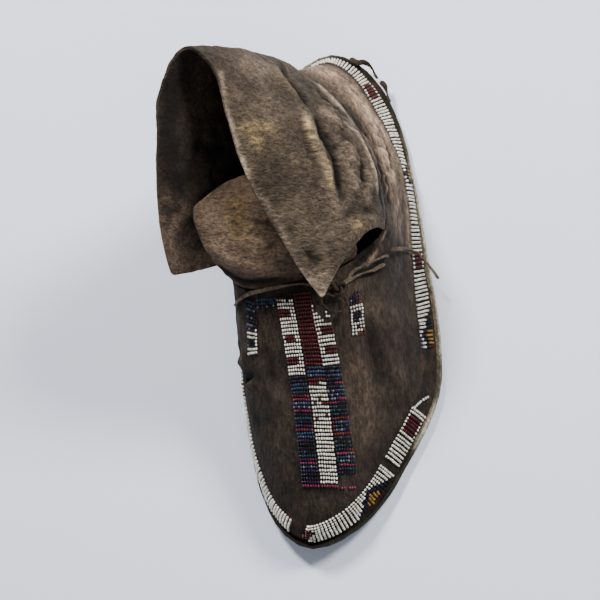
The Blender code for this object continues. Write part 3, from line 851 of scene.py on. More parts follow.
UPPER_RUBBED_AND_LIT = (
    # route, width, strength
    (((-2, 100, 28), (10, 92, 26), (22, 76, 26)), 15.0, 1.0),
    (((22, 70, 30), (27, 56, 34), (29.5, 42, 34)), 12.0, 0.95),
    (((-22, 104, 22), (-34, 76, 28)), 20.0, 0.7),
    (((31.5, 30, 34), (32, 16, 32)), 9.0, 0.42),
    (((35, 12, 15), (33, 40, 16), (28, 70, 16)), 5.0, 0.5),
    (((-42, 30, 36),), 18.0, 0.4),
    # Painted highlight and rubbing: the collar and throat ridges and the fold's edge at the inner end of the throat
    # are painted pale.
    (COLLAR_RIDGE, 1.4, 0.9),
    (THROAT_RIDGE, 1.2, 0.9),
    (((-43.5, -46, 34), (-42.5, -34, 45), (-40.5, -33, 52), (-36, -30, 60)), 1.9, 0.75),
    (((8, -60, 36), (10, -90, 27)), 4.0, 0.1),
    (((13.5, -30.8, 46.3), (23.8, -33.9, 36.5)), 7.0, 0.1),
    (((15.1, -64.5, 30.9), (17, -74.7, 24.8), (13.4, -86.1, 23.1)), 6.0, 0.1),
    (((-24.1, -67.9, 38.9), (-18.3, -77.5, 36.9)), 4.0, 0.07),
)
UPPER_STAINED = (
    (((0.1, 96.4, 35.6), (3.8, 97.1, 31.2)), 2.6, 0.34),
    (((14.5, 82.7, 31.7), (16, 73.7, 39)), 1.8, 0.3),
    (((16.2, 74.8, 38.8),), 2.4, 0.3),
    (((12.8, 102.7, 16.7),), 2.0, 0.45),
    (((-22.8, -119.7, 13.7), (-19.6, -122.5, 14.2)), 4.0, 0.35),
    (((38, -52, 9), (40, -44, 9)), 3.0, 0.25),
)
UPPER_SOILED_AND_SHADED = (
    # Darker under the border and under the lanes, so the gaps between the beads look dark.
    (UNDER_THE_BORDER, 4.2, 1.0),
    (((-9.8, -31, 59), (-8, -62, 42), (-4.8, -108, 25)), 11.0, 0.8),
    # Painted shade in the troughs of creases and in the pocket at the inner end of the throat; the short dab low at
    # the heel darkens a patch there.
    (((14.6, -14, 52), (18.6, -10.5, 51.2), (22.6, -4.5, 50.9)), 2.0, 1.0),
    (((10.1, 69.4, 49.4), (18.9, 57.9, 47.2), (25, 43.6, 44.8), (28.1, 25.3, 47.4), (29, 15.3, 47.3)), 1.5,
      1.0),
    (((23.6, 47.1, 45.5), (26.7, 41.9, 42.6), (28.5, 31.9, 43.7), (29.7, 14.6, 45.2)), 1.4, 0.9),
    (((3.3, 107.1, 19.9), (9.1, 103, 18.9)), 1.6, 0.6),
    (((25.5, 64.6, 30.1), (28.4, 60, 27.5), (30, 50.4, 30.6)), 2.2, 0.6),
    (BALL_TROUGH, 2.0, 1.0),
    (SLIT_TROUGH, 2.4, 1.0),
    # Darker low on both sides and at the toe.
    (((30, -10, 34), (40, -40, 14), (36, -70, 12)), 9.0, 0.5),
    (((-42, -44, 30), (-38, -60, 28), (-34, -92, 18)), 12.0, 0.5),
    (((-24, -112, 16), (0, -120, 14), (20, -104, 12)), 11.0, 0.6),
    (((28, -84, 12), (20, -96, 14)), 9.0, 0.7),
    (((34, -22, 20), (34, -40, 18)), 6.0, 0.4),
)
UPPER_ROUGHNESS = ((17.0, 0.55), (6.0, 0.30), (2.8, 0.16))
INSIDE_THE_FOOT = Vector((-5.0, 0.0, 25.0)) * MM
upper_skin = outer_skin("upper", INSIDE_THE_FOOT, 2)
upper_height = press(upper_skin, UPPER_CREASES, UPPER_ROUGHNESS, UPPER_CRUMPLES)
weather_and_shade(upper_skin, UPPER_RUBBED_AND_LIT, UPPER_STAINED, UPPER_SOILED_AND_SHADED, upper_height)
upper_skin.normal_update()
upper_surface = BVHTree.FromBMesh(upper_skin)  # what the beads are laid on
upper = thicken("upper_leather", upper_skin, UPPER_WALL, VAMP_HIDE, CUFF_LINING)
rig.replaces(upper, "upper")
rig.slot(upper, "upper_hide")
print("upper:", len(upper.data.polygons), "faces in the skin")

# %% [markdown]
# ## The rawhide sole
#
# Rawhide dries hard, with a wavy edge that curls up beside the upper. The solid sole is already right,
# so its edge is only made finer, waved a little and rubbed. Its underside stays level, because the shoe
# stands on it.

# %% Shape the sole
SOLE_RUBBED = (
    # route, width, strength
    (((34.5, -83, 5), (44.5, -58, 5), (46.5, -28, 5), (42.5, 12, 5), (37, 60, 5)), 3.0, 0.9),
    (((-1, 129.5, 5), (-18.8, 120.2, 5), (-28.5, 97, 5)), 3.0, 0.5),
    (((-30.5, 55, 5), (-37, 6, 5), (-45, -42, 4)), 3.0, 0.4),
)
SOLE_STAINED = (
    (((21.5, 109, 5), (22.6, 107, 5)), 2.2, 1.0),
    (((44, -30, 5), (44.6, -8, 5)), 2.5, 0.35),
)
SOLE_SOILED = (
    (((32, 84, 5), (30, 92, 5), (17.1, 117.6, 5), (-1, 129.5, 5)), 5.0, 0.75),
    (((-32, -117, 7), (-14, -131, 10), (12, -118, 7), (30, -92, 5)), 9.0, 1.0),
    (((44.5, -58, 4), (45.5, -48, 4)), 7.0, 0.8),
    (((-42.5, -84, 4), (-32, -117, 7)), 8.0, 0.8),
)
SOLE_WAVES = ((9, 0.3), (3, 0.12))  # size and height
LEVEL_BELOW = 0.1  # edges that reach this low are the underside's and aren't divided
STILL_BELOW = 0.5  # points this low aren't waved
bm = bmesh.new()
bm.from_mesh(frame["nodes"]["sole"].data)
bmesh.ops.remove_doubles(bm, verts=bm.verts, dist=WELD)
bmesh.ops.subdivide_edges(
    bm, edges=[e for e in bm.edges if min(v.co.z for v in e.verts) > LEVEL_BELOW * MM], cuts=1,
    use_grid_fill=True
)
bm.normal_update()
for vert in bm.verts:
    if vert.co.z > STILL_BELOW * MM:
        wave = sum(noise.noise(vert.co / (size * MM)) * rise for size, rise in SOLE_WAVES)
        vert.co += vert.normal * wave * MM
weather_and_shade(bm, SOLE_RUBBED, SOLE_STAINED, SOLE_SOILED)
sole = new_piece("rawhide_sole", bm, RAWHIDE)
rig.replaces(sole, "sole")
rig.slot(sole, "rawhide")
print("sole:", len(sole.data.polygons), "faces")

# %% [markdown]
# ## The cuff
#
# The cuff is a sheet of thinner hide, cut as a long strip and sewn round the collar. Its outer half has
# fallen over the opening, and its inner half leans away, so the hide is folded hard at the heel and
# along the rim. The ridges and troughs here are the ones that show most on the real shoe.

# %% Fold the cuff
CUFF_WALL = 1.4
# Folds that are also painted: ridges lighter, part rubbing and part painted highlight, and troughs darker, painted
# shade.
FLAP_RIDGE = ((5.7, 48.1, 78.6), (9.4, 46.8, 74.8), (13.3, 46.3, 69.6))
HEEL_RIDGE = ((2.5, 68.8, 64), (8, 61.5, 63), (13, 55.5, 60))
HEM_RIDGE = ((13.8, 49.1, 67.1), (17.7, 46.6, 61.4), (21.5, 39.5, 60), (24.6, 29, 60), (26.6, 17, 59.8))
TIP_TROUGH = ((10.5, -4.3, 74.2), (17.8, 2.9, 70.5), (25.8, 6, 60.2))
CUFF_CREASES = (
    # route, half width, rise
    (((-13.1, 76.2, 80.2), (-11.5, 66.8, 86.3), (-9.6, 62.5, 87), (-6.7, 58.5, 86.2), (-3, 53.5, 85.1),
      (1, 46, 85)), 1.5, -2.4),
    (((-15.5, 72, 87), (-12.5, 63, 90), (-8.5, 56, 89.5), (-4.5, 50, 88)), 2.2, 1.2),
    (((-12.2, 71.8, 88.3), (-4, 50.9, 87.4), (0.8, 34, 87.5), (5.7, 15, 82.9), (9.5, 2.2, 77.1),
      (13, -9.8, 69.6)), 3.4, 1.0),
    (((-1.6, 40.5, 88.5), (1, 32.9, 87.4), (3.6, 25.8, 85.5), (5.9, 20.6, 83.4), (7.2, 14.4, 81.7),
      (7.8, 9, 80.2)), 1.7, 1.7),
    (((-5.5, 40, 90), (-2.6, 31, 89.6), (0, 23, 88), (2.6, 14, 85)), 1.7, -0.8),
    (((1.8, 45, 84), (3.2, 42.2, 83.5), (5.4, 33, 83.5), (8, 29, 81.4), (10.2, 24, 79.7), (11, 17.4, 78.8),
      (11.3, 10.9, 77.8), (11.8, 5.6, 76.4)), 1.5, -2.2),
    (FLAP_RIDGE, 1.8, 1.4),
    (((5, 36.8, 83.1), (9, 33, 79.7), (11.7, 27.6, 77.8)), 1.5, -1.2),
    (((13, 35.5, 74.8), (15.8, 31, 72.8), (16.4, 23.3, 73.6)), 2.2, 1.3),
    (((18.2, 38, 66.6), (20.4, 30.4, 66.8), (21.1, 22.4, 68.2), (20.7, 15.5, 69.4)), 1.7, -1.4),
    (((22.4, 25.6, 65.4), (24, 18.8, 64.5), (24.9, 13.1, 63.4)), 2.0, 1.0),
    (((-0.3, 70.8, 68.6), (3, 63, 72.1), (6.9, 59.5, 69.7), (10.8, 56.2, 66.8), (13.7, 54.7, 62.6)), 1.6,
      -2.0),
    (HEEL_RIDGE, 1.8, 1.2),
    (HEM_RIDGE, 1.8, 1.3),
    (((16.8, 47.1, 60), (21.7, 39.6, 57), (24.8, 29, 57), (26.7, 15.5, 57), (27.8, 7.3, 54.5)), 1.4, -1.4),
    (((-4.1, -17.5, 76), (-1.9, -21.3, 73.1), (3.2, -22.4, 70.1)), 2.0, -0.9),
    (TIP_TROUGH, 2.2, -0.9),
    (((-31, 48, 113.5), (-28.5, 43.2, 110.9), (-26, 38.4, 108.2)), 2.0, 0.8),
    (((-49.8, 33, 92.4), (-51.6, 25.6, 92.5), (-53.5, 16.6, 91.9), (-55, 11, 90.9)), 2.0, -1.2),
    (((-47.1, 39.5, 90), (-48.1, 32.5, 89.2), (-50.3, 23.8, 89.8), (-51.4, 16, 88.7)), 2.0, 1.1),
    (((-65.3, -10.6, 79.6), (-60.8, -11.5, 76.5), (-54.5, -7.8, 75.2)), 1.8, 1.5),
    (((-65.6, 1.2, 92.7), (-61.1, 0.7, 88.3), (-56.5, 2.4, 85.8)), 2.2, -1.3),
    (((-22, 86, 64), (-26, 80, 78), (-33, 73, 92)), 3.6, -1.5),
    (((-36, 60, 66), (-42, 54, 80), (-50, 50, 92)), 3.2, 1.3),
    (((-42, 30, 66), (-47, 30, 80), (-56, 28, 94)), 3.6, -1.2),
)
CUFF_CRUMPLES = (
    # route, width, size of the noise, height
    (((2, 66, 70), (10, 50, 74), (16, 32, 73), (20, 14, 68)), 11.0, 5.0, 1.2),
    (((2, 66, 70), (12, 40, 75), (20, 14, 68)), 10.0, 2.0, 0.9),
    (((-1.6, 40.5, 88.5), (3.6, 25.8, 85.5), (7.2, 14.4, 81.7)), 3.4, 1.8, 1.0),
    (((-20.3, 23.1, 102), (-25.6, 27.2, 106.3)), 5.0, 2.4, 0.6),
    (((-30, 66, 74), (-44, 34, 80), (-50, 0, 74)), 14.0, 6.0, 1.6),
)
CUFF_RUBBED_AND_LIT = (
    # route, width, strength
    # Painted pale, part rubbing and part painted highlight: the cuff's rims and the flap's tip.
    (((-33.1, 50.2, 116), (-33.1, 38.2, 113.7), (-29.4, 21.9, 106.9), (-25.5, 7.6, 98.4)), 1.5, 0.9),
    (((-23.8, 4.5, 96.1), (-19.4, -1, 91.3), (-15.1, -7.8, 85.7), (-12.3, -14.8, 80.6), (-9.2, -22.3, 75),
      (-6.8, -26.8, 71.7)), 1.2, 0.4),
    (((-2, -31.5, 68.2), (0.6, -31, 67.5), (3, -29.5, 66.2)), 4.6, 0.62),
    (((-6.8, -27.8, 71.7), (-2.6, -32.9, 67.6), (1.2, -35.5, 65), (6, -31, 64.6), (9.6, -23, 65.7)), 1.3,
      1.0),
    # The same on the folds near the heel and on the flap, down to the flap's ridge.
    (((-1.6, 40.5, 88.5), (1, 32.9, 87.4), (3.6, 25.8, 85.5), (7.2, 14.4, 81.7)), 1.8, 0.6),
    (HEEL_RIDGE, 5.0, 0.8),
    (((-19.8, 66.6, 96), (-24, 60, 101)), 8.0, 0.45),
    (HEM_RIDGE, 1.6, 0.9),
    (((22.4, 25.6, 65.4), (24, 18.8, 64.5)), 4.0, 0.25),
    (FLAP_RIDGE, 3.0, 0.35),
    # Painted light on the lower front of the inner half, where it faces the light.
    (((-63.3, -0.8, 88.5), (-61.1, -5.6, 82), (-61.3, -12.8, 75.5), (-58.6, -16.4, 71.3)), 8.0, 0.6),
    (((-2, -18, 74), (8, -6, 75), (15, 6, 74)), 9.0, 0.14),
    (((16, 24, 73), (20, 10, 70)), 8.0, 0.16),
)
CUFF_STAINED = (
    (((-20.3, 23.1, 102),), 3.2, 0.6),
    (((-25.6, 27.2, 106.3), (-15.3, 29.9, 100)), 2.6, 0.3),
    (((2.6, 28, 86.2), (4.8, 22.8, 84.6), (7, 16.6, 82.4), (7.8, 11, 80.8)), 1.5, 0.85),
    (((-0.4, 38.1, 88), (0.9, 31, 87.6)), 2.0, 0.5),
    (((17.9, -4.8, 67.3),), 3.5, 0.3),
)
CUFF_PAINTED_SHADE = (
    # Painted shade in the troughs of the creases above.
    (((-13.1, 76.2, 80.2), (-9.6, 62.5, 87), (-3, 53.5, 85.1), (1, 46, 85)), 1.4, 0.9),
    (((-0.3, 70.8, 68.6), (6.9, 59.5, 69.7), (13.7, 54.7, 62.6)), 1.8, 0.9),
    (((3.2, 42.2, 83.5), (8, 29, 81.4), (11, 17.4, 78.8), (11.8, 5.6, 76.4)), 1.6, 0.9),
    (((16.8, 47.1, 60), (21.7, 39.6, 57), (24.8, 29, 57), (27.8, 7.3, 54.5)), 1.6, 1.0),
    (TIP_TROUGH, 3.0, 0.3),
    # Darker hide and painted shade on the inside of the inner half, in the shade of the flap.
    (((-48, 10, 72), (-46, 40, 74), (-38, 66, 76), (-22, 84, 72)), 14.0, 0.8),
    (((-51.1, 57.7, 114.2), (-57.1, 46.7, 113.1), (-58.9, 32.5, 109.7), (-58.2, 20.9, 101.6), (-55, 14, 92)),
      11.0, 0.9),
)
CUFF_ROUGHNESS = ((15.0, 0.6), (6.0, 0.35), (2.6, 0.30))
CUFF_FLAT = (0.235, 0.080)
INSIDE_THE_CUFF = Vector((-28.0, 36.0, 62.0)) * MM
cuff_skin = outer_skin("cuff", INSIDE_THE_CUFF, 3)
cuff_height = press(cuff_skin, CUFF_CREASES, CUFF_ROUGHNESS, CUFF_CRUMPLES)
weather_and_shade(cuff_skin, CUFF_RUBBED_AND_LIT, CUFF_STAINED, CUFF_PAINTED_SHADE, cuff_height)
cuff = thicken("cuff_leather", cuff_skin, CUFF_WALL, CUFF_HIDE, CUFF_LINING)
cuff_area = sum(f.area for f in cuff.data.polygons)
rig.replaces(cuff, "cuff")
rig.slot(cuff, "cuff_hide")
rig.sheet(cuff, flat=CUFF_FLAT, held="gathered", rests_on=("upper_leather",), area=cuff_area)
print("cuff:", round(cuff_area * 1e4), "cm2 of hide")

# %% [markdown]
# ## The tongue
#
# The tongue is a separate sheet of the same soft hide, sewn across the throat. It rolls forward over
# the tie, and its free end lies back under the cuff.

# %% Roll the tongue
TONGUE_WALL = 1.3
TONGUE_CREASES = (
    # route, half width, rise
    (((-26, -5, 82), (-24.3, -5.4, 81.7), (-20.7, -5.9, 80.3), (-17.5, -7, 79), (-15, -8, 78)), 1.3, -0.8),
    (((-46, -16, 77), (-41.9, -22.1, 70.7), (-33.5, -26.3, 66), (-22.2, -26, 64.3), (-13.2, -24.3, 62.7)),
      2.0, -1.2),
    (((-47.7, -11, 83.5), (-43.3, -16.7, 78.9), (-37.7, -20, 76), (-28.6, -23.7, 71.4),
      (-19.8, -23.5, 69.3)), 3.0, 0.9),
    (((-47.8, -17, 79.7), (-45.6, -20, 76.9)), 2.0, -0.9),
    (((-40, -12, 85), (-30, -14, 82.5), (-18, -14, 78.5)), 3.2, 0.6),
    (((-36, 4, 85.4), (-33, -6, 84), (-31, -14, 80)), 2.6, -0.7),
)
TONGUE_RUBBED = (
    # route, width, strength
    (((-39.5, 2.9, 86.5), (-44.1, -5, 86)), 5.0, 0.35),
    (((-44, -16.6, 78.8), (-38.7, -21, 74.8)), 5.0, 0.5),
)
TONGUE_STAINED = (
    (((-33.6, 1.2, 85.3), (-33.2, -8.1, 83.3)), 5.0, 0.6),
)
TONGUE_PAINTED_SHADE = (
    # Painted shade: along the tongue's rolled lower edge, on its part under the cuff's flap, and in a crease near its
    # top.
    (((-41.9, -22.1, 70.7), (-33.5, -26.3, 66), (-22.2, -26, 64.3), (-13.2, -24.3, 62.7)), 2.6, 0.9),
    (((10, -14, 62), (0, -18, 66)), 9.0, 0.6),
    (((-24.3, -5.4, 81.7), (-17.5, -7, 79)), 1.0, 0.45),
)
TONGUE_ROUGHNESS = ((13.0, 0.5), (5.0, 0.35), (2.4, 0.22))
TONGUE_FLAT = (0.058, 0.065)
BEHIND_THE_TONGUE = Vector((-24.0, 6.0, 60.0)) * MM
tongue_skin = outer_skin("tongue", BEHIND_THE_TONGUE, 3)
tongue_height = press(tongue_skin, TONGUE_CREASES, TONGUE_ROUGHNESS)
weather_and_shade(tongue_skin, TONGUE_RUBBED, TONGUE_STAINED, TONGUE_PAINTED_SHADE, tongue_height)
tongue = thicken("tongue_leather", tongue_skin, TONGUE_WALL, TONGUE_HIDE, TONGUE_HIDE)
tongue_area = sum(f.area for f in tongue.data.polygons)
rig.replaces(tongue, "tongue")
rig.slot(tongue, "tongue_hide")
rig.sheet(tongue, flat=TONGUE_FLAT, held="gathered", rests_on=("upper_leather",), area=tongue_area)
print("tongue:", round(tongue_area * 1e4), "cm2 of hide")

# %% [markdown]
# ## Heel trailers
#
# Two narrow strips are sewn in at the heel, where the wearer trod on them. They lie beside the sole.

# %% Lay the trailers
HEEL_TRAILERS = (
    ((8.9, 124.6, 6), (12.8, 121.5, 6.4), (15.4, 121.3, 6.6), (18.2, 119.5, 6.8), (20, 116.7, 6.8),
     (21, 113.9, 6.7), (22.3, 110.9, 6.4)),
    ((23.8, 109.1, 6.1), (25.9, 106.2, 6.3), (26.7, 103.1, 6.4), (27.1, 100.1, 6.4), (28.1, 96.6, 6.2)),
)
TRAILER_WIDTH = 2.8
TRAILER_THICKNESS = 1.0
for number, points in enumerate(HEEL_TRAILERS, start=1):
    trailer, path = strip(
        f"heel_trailer_strip_{number}", points, TRAILER_WIDTH, TRAILER_THICKNESS, 2.4, DARK_THONG
    )
    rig.replaces(trailer, f"heel_trailer_{number}")
    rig.slot(trailer, "dark_thong")
    print("heel trailer", number, "shows", round(length_of(path) * 1000, 1), "mm")

# %% [markdown]
# ## Beads
#
# Seed beads are short pieces of drawn glass tube with soft edges. They are threaded a row at a time and
# the thread is sewn down at the ends of each row, which lets the row arch a little. Every bead
# is one copy of a small faceted barrel, laid on the hide it is sewn to, with its own size, tilt and
# shade. The charts give the colours: a letter for each bead, a dot for one that is lost.

# %% Glass
BEAD_COLOURS = {
    "W": ("chalk_white", (0.83, 0.82, 0.77)),
    "R": ("ruby_red", (0.085, 0.006, 0.012)),
    "N": ("navy_blue", (0.003, 0.004, 0.018)),
    "G": ("mustard_gold", (0.34, 0.205, 0.040)),
    "P": ("rose_pink", (0.19, 0.016, 0.064)),
    "V": ("purple", (0.028, 0.006, 0.060)),
    "B": ("grey_blue", (0.026, 0.055, 0.125)),
    "T": ("teal", (0.007, 0.045, 0.070)),
    "O": ("rust_orange", (0.14, 0.022, 0.010)),
    "L": ("lavender", (0.13, 0.14, 0.25)),
    "K": ("shell_pink", (0.70, 0.48, 0.42)),
}
GLASS_ORDER = list(BEAD_COLOURS)


def bead_glass(name, colour):
    """Glass of one colour, shaded bead by bead and a little dirty in patches."""
    material, tree, shader = new_material("bead_" + name, roughness=0.36)
    where = tree.nodes.new("ShaderNodeTexCoord").outputs["Object"]
    shade = put(tree, "ShaderNodeAttribute", attribute_name="shade").outputs["Color"]
    cloud = spread(tree, clouds(tree, where, 420.0, 3.0), 0.35, 0.65)
    grime = mix(tree, cloud, rgb(0.86, 0.80, 0.70), rgb(1.0, 1.0, 1.0))
    toned = mix(tree, 1.0, rgb(*colour), shade, "MULTIPLY")
    tree.links.new(mix(tree, 1.0, toned, grime, "MULTIPLY"), shader.inputs["Base Color"])
    shader.inputs["Specular IOR Level"].default_value = 0.30
    return material


GLASS = [bead_glass(*BEAD_COLOURS[letter]) for letter in GLASS_ORDER]
print(len(GLASS), "colours of glass")

# %% One bead, and beads laid in rows
BEAD_ACROSS = 1.14
BEAD_SIZES = (0.92, 1.06)  # shares of BEAD_ACROSS
BEAD_LENGTHS = (0.66, 0.80)  # shares of the room that a bead has in its row
MOST_ROOM = 1.3
BEAD_BEVEL = 0.29
BEAD_SHADES = (0.66, 1.08)
WARMTH = 0.03  # at most how much redder or bluer a bead is than its glass
TILT = 0.16  # the steepest slope of a bead's axis to its row
SIDEWAYS = 0.05  # how far a bead usually is from the line of its row
UPWARDS = 0.04  # how far a bead usually is from its row's height
ROW_ARCH = (0.15, 0.45)  # how much higher a row stands in its middle
chance = random.Random(1890)


def bead_barrel():
    """A barrel one millimetre across and long, its axis along z, with bevelled edges."""
    bm = bmesh.new()
    bmesh.ops.create_cone(bm, cap_ends=True, segments=8, radius1=0.5 * MM, radius2=0.5 * MM, depth=MM)
    ends = [e for e in bm.edges if e.verts[0].co.z * e.verts[1].co.z > 0]
    bmesh.ops.bevel(
        bm, geom=ends, offset=BEAD_BEVEL * MM, segments=1, profile=0.5, affect="EDGES", material=-1,
        clamp_overlap=True
    )
    bm.verts.layers.float_color.new("shade")
    return mesh_from(bm, "bead")


BARREL = bead_barrel()


def lay_bead(bm, place, thread, normal, letter, long):
    """One bead at a place on the hide, threaded along thread, standing on the hide's normal."""
    shade = chance.uniform(*BEAD_SHADES)
    warmth = chance.uniform(-WARMTH, WARMTH)
    tint = (shade + warmth, shade, shade - warmth, 1.0)
    BARREL.attributes["shade"].data.foreach_set("color", tint * len(BARREL.vertices))
    BARREL.polygons.foreach_set("material_index", [GLASS_ORDER.index(letter)] * len(BARREL.polygons))
    axis = (thread + normal * chance.uniform(-TILT, TILT)).normalized()
    side = normal.cross(axis).normalized()
    size = BEAD_ACROSS * chance.uniform(*BEAD_SIZES)
    turn = Matrix((side * size, axis.cross(side) * size, axis * long * chance.uniform(*BEAD_LENGTHS)))
    jitter = side * chance.gauss(0.0, SIDEWAYS) + normal * chance.gauss(0.0, UPWARDS)
    matrix = Matrix.Translation(place + jitter * MM) @ turn.transposed().to_4x4()
    BARREL.transform(matrix)
    bm.from_mesh(BARREL)
    BARREL.transform(matrix.inverted())


def lay_row(bm, spots, chart):
    """A row of beads at (place, normal) spots, arched like a lazy stitch. A dot leaves a bead out."""
    last = len(spots) - 1
    sag = chance.uniform(*ROW_ARCH)
    for i, ((place, normal), letter) in enumerate(zip(spots, chart)):
        if letter == ".":
            continue
        before, after = spots[max(i - 1, 0)][0], spots[min(i + 1, last)][0]
        long = (after - before).length / (min(i + 1, last) - max(i - 1, 0)) / MM
        arch = sag * math.sin(math.pi * (i + 0.5) / (last + 1))
        lift = (0.5 * BEAD_ACROSS + arch) * MM
        thread = (after - before).normalized()
        lay_bead(bm, place + normal * lift, thread, normal, letter, min(long, MOST_ROOM))


def finish_beads(bm, name, node):
    """The beads laid so far as one piece that stands for a node."""
    piece = new_piece(name, bm, *GLASS)
    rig.replaces(piece, node)
    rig.slot(piece, "beads")
    print(name, "has", len(piece.data.polygons) // len(BARREL.polygons), "beads")


# %% [markdown]
# ## The lanes on the instep
#
# Three lanes run down the instep, bowed a little outwards, and two short marks stand beside them. The
# middle lane is red at the throat, then striped for a few rows, then white down to the toe. The lanes
# beside it begin with red blocks between white rows and end in stripes of many colours. Beads are
# missing at both ends of the outer lane. A small strip crosses from the inner mark to the lanes. A
# row's slant is how far its outer end lies towards the toe, for each millimetre of its length.

# %% Charts of the lanes, from the throat to the toe, each row from the inner to the outer side
W7 = " WWWWWWW"  # a plain white row
INNER_LANE = (
    "WWWW.WW WWWWWWW KKWWWWW" + " RRRRRWW" * 2 + W7 * 5 + " WRRRRWW" * 2 + W7 * 4 + " RRRRRWW" * 2 + W7 * 3
    + " NNNVNNN NVNNVNN VBBBVBB BBBBTTT NTTTTTN RRRRRPP PPPPPPP BLBBLBB LVLVLVL PPVPPPP NNNNVNN TTTTTTT"
    + " NNTNNNN VVVVRVV PPPPPVP BTBBBBB BBLBBBB VVVVVNV NNNNNNN NNNNNNN NNBNNNN TTTTTTT VVVVPPV PPPPPPP"
    + " TLTTLTT VVVVVVV NNNNNNN NNBNNNN VVVVVVV PPPPPPP"
).split()
MIDDLE_LANE = (
    "RRRRRRR " * 18 + "RRRROOO NBBTBBB BBBBLBB BLBBBBB RRORROR PRRRWWW" + W7 * 3 + " WWWRWWW WRWWRRR"
    + W7 * 2 + " WWWWWRW KRWWWWW" + W7 * 16 + " PPPPPPP"
).split()
OUTER_LANE = (
    "W...... W...... WW...W. WWW..WW WWWW... WWWWWWW" + " WWRRRRR" * 2 + W7 * 3 + " WWRRRRR" * 2 + W7 * 3
    + " NNNNBNN NNVBNBN NBVBBLB NNNNTNN NNNVPPP NNNNNTT LNLVBTB NLNLVTT NLLVPPP PPPVNNN TTTNNNN TTNTNNN"
    + " NTTNNNN VPRRORP RBBLBBB RBNBNBN RLBLBNV OOOPRRR NNBNNNN TNNNNTN TTTTNTN NTNVVOO PPPPPLO TTTTLTL"
    + " NLLTLTT VPPPPPR VVNTTTT NVNNNNN N...... ....... ....... PP.PPP."
).split()
INNER_MARK = "TTBB. NTBNT LLBL. NNNNN LNLNN NNNNN LLLNN NLNNW WWWWW WWWWW BNNNW LNNNW WWWWW WWWWW".split()
OUTER_MARK = "..RV. VVVV. LVVR. NVNR. WWWWW WWWWW WNNNW WNNNW WNNWW WWWWW WWNWW WWWWO WWOOR".split()
THROAT_STRIP = "BTBBTBBNBRRR TNBTNNBTNRNR L.N.LN.L....".split()
LANES = (
    # name, node, from x, y, to x, y, width, bow outwards, slant of the first and of the last row, chart
    ("lane_inner_beads", "bead_lane_inner", -17.0, -31.4, -11.4, -108.7, 7.3, 1.1, 0.10, 0.10, INNER_LANE),
    ("lane_middle_beads", "bead_lane_middle", -9.5, -28.7, -3.7, -108.6, 7.3, 1.1, 0.0, 0.0, MIDDLE_LANE),
    ("lane_outer_beads", "bead_lane_outer", -2.4, -33.3, 4.3, -108.1, 7.3, 1.1, -0.13, -0.13, OUTER_LANE),
    ("mark_inner_beads", "bead_mark_inner", -31.5, -31.1, -33.7, -50.3, 4.8, 0.0, 0.55, 0.10, INNER_MARK),
    ("mark_outer_beads", "bead_mark_outer", 13.2, -26.4, 12.9, -44.5, 5.6, 0.0, -0.50, -0.35, OUTER_MARK),
)
STRIP_FROM, STRIP_TO = Vector((-29.6, -31.4)), Vector((-17.4, -31.2))
STRIP_APART = 1.25  # from row to row of the strip below the throat

# %% Bead the lanes
SKY_HIGH = 200.0  # well above the leather
LANE_STEPS = 60
ROW_SHIFT = 0.18  # the furthest that a row lies out of its lane
ROW_SLANT = 0.04  # the most that its slant differs from the lane's


def from_above(x, y):
    """The place and normal of the upper under a point of its plan."""
    place, normal, _, _ = upper_surface.ray_cast(Vector((x, y, SKY_HIGH)) * MM, Vector((0.0, 0.0, -1.0)))
    return place, normal if normal.z > 0 else -normal


for name, node, x0, y0, x1, y1, width, bow, first_slant, last_slant, chart in LANES:
    start, end = Vector((x0, y0)), Vector((x1, y1))
    shares = np.linspace(0, 1, LANE_STEPS + 1)
    centre = [from_above(*start.lerp(end, i / LANE_STEPS))[0] for i in range(LANE_STEPS + 1)]
    walked = np.cumsum([0.0] + [(b - a).length for a, b in zip(centre, centre[1:])])
    to_the_toe = (end - start).normalized()
    outwards = Vector((-to_the_toe.y, to_the_toe.x))
    bm = bmesh.new()
    for row, letters in enumerate(chart):
        share = np.interp((row + 0.5) / len(chart) * walked[-1], walked, shares)
        aside = bow * math.sin(math.pi * share) + chance.uniform(-ROW_SHIFT, ROW_SHIFT)
        middle = start.lerp(end, share) + outwards * aside
        slant = first_slant + (last_slant - first_slant) * share + chance.uniform(-ROW_SLANT, ROW_SLANT)
        spots = []
        for i in range(len(letters)):
            step = ((i + 0.5) / len(letters) - 0.5) * width
            spots.append(from_above(*(middle + outwards * step + to_the_toe * slant * step)))
        lay_row(bm, spots, letters)
    if chart is INNER_LANE:
        for row, letters in enumerate(THROAT_STRIP):
            plan = [STRIP_FROM.lerp(STRIP_TO, (i + 0.5) / len(letters)) for i in range(len(letters))]
            lay_row(bm, [from_above(x, y - STRIP_APART * row) for x, y in plan], letters)
    finish_beads(bm, name, node)
    print("  rows", round(walked[-1] / len(chart) * 1000, 2), "mm apart")

# %% [markdown]
# ## The border round the foot
#
# The border is sewn in rows of eight that stand on the sole's edge, so its rows fan out round the toe
# and heel. On the outer side they lean towards the toe. Places round the sole run from 0 at the toe,
# along the outer side, to 1 again at the toe. White is the ground. Stepped triangles of navy and gold
# stand on the sole's edge, and red blocks lie between them. A short stretch at the front of the outer
# side, and some beads at the toe, are lost.

# %% The sole's outline as a smooth curve
OUTLINE = (
    (-14, -130.8), (10.9, -118.4), (34.7, -82.3), (45.2, -58.6), (46.5, -28), (42.5, 12), (37, 60), (30, 92),
    (17.1, 117.6), (-1, 129.5), (-18.8, 120.2), (-28.5, 97), (-30.5, 55), (-37, 6), (-45, -42),
    (-41.9, -83.5), (-31.3, -116.3)
)
outline = np.array(OUTLINE)
chords = np.linalg.norm(np.roll(outline, -1, axis=0) - outline, axis=1)
places = np.concatenate(([0.0], np.cumsum(chords)[:-1])) / chords.sum()


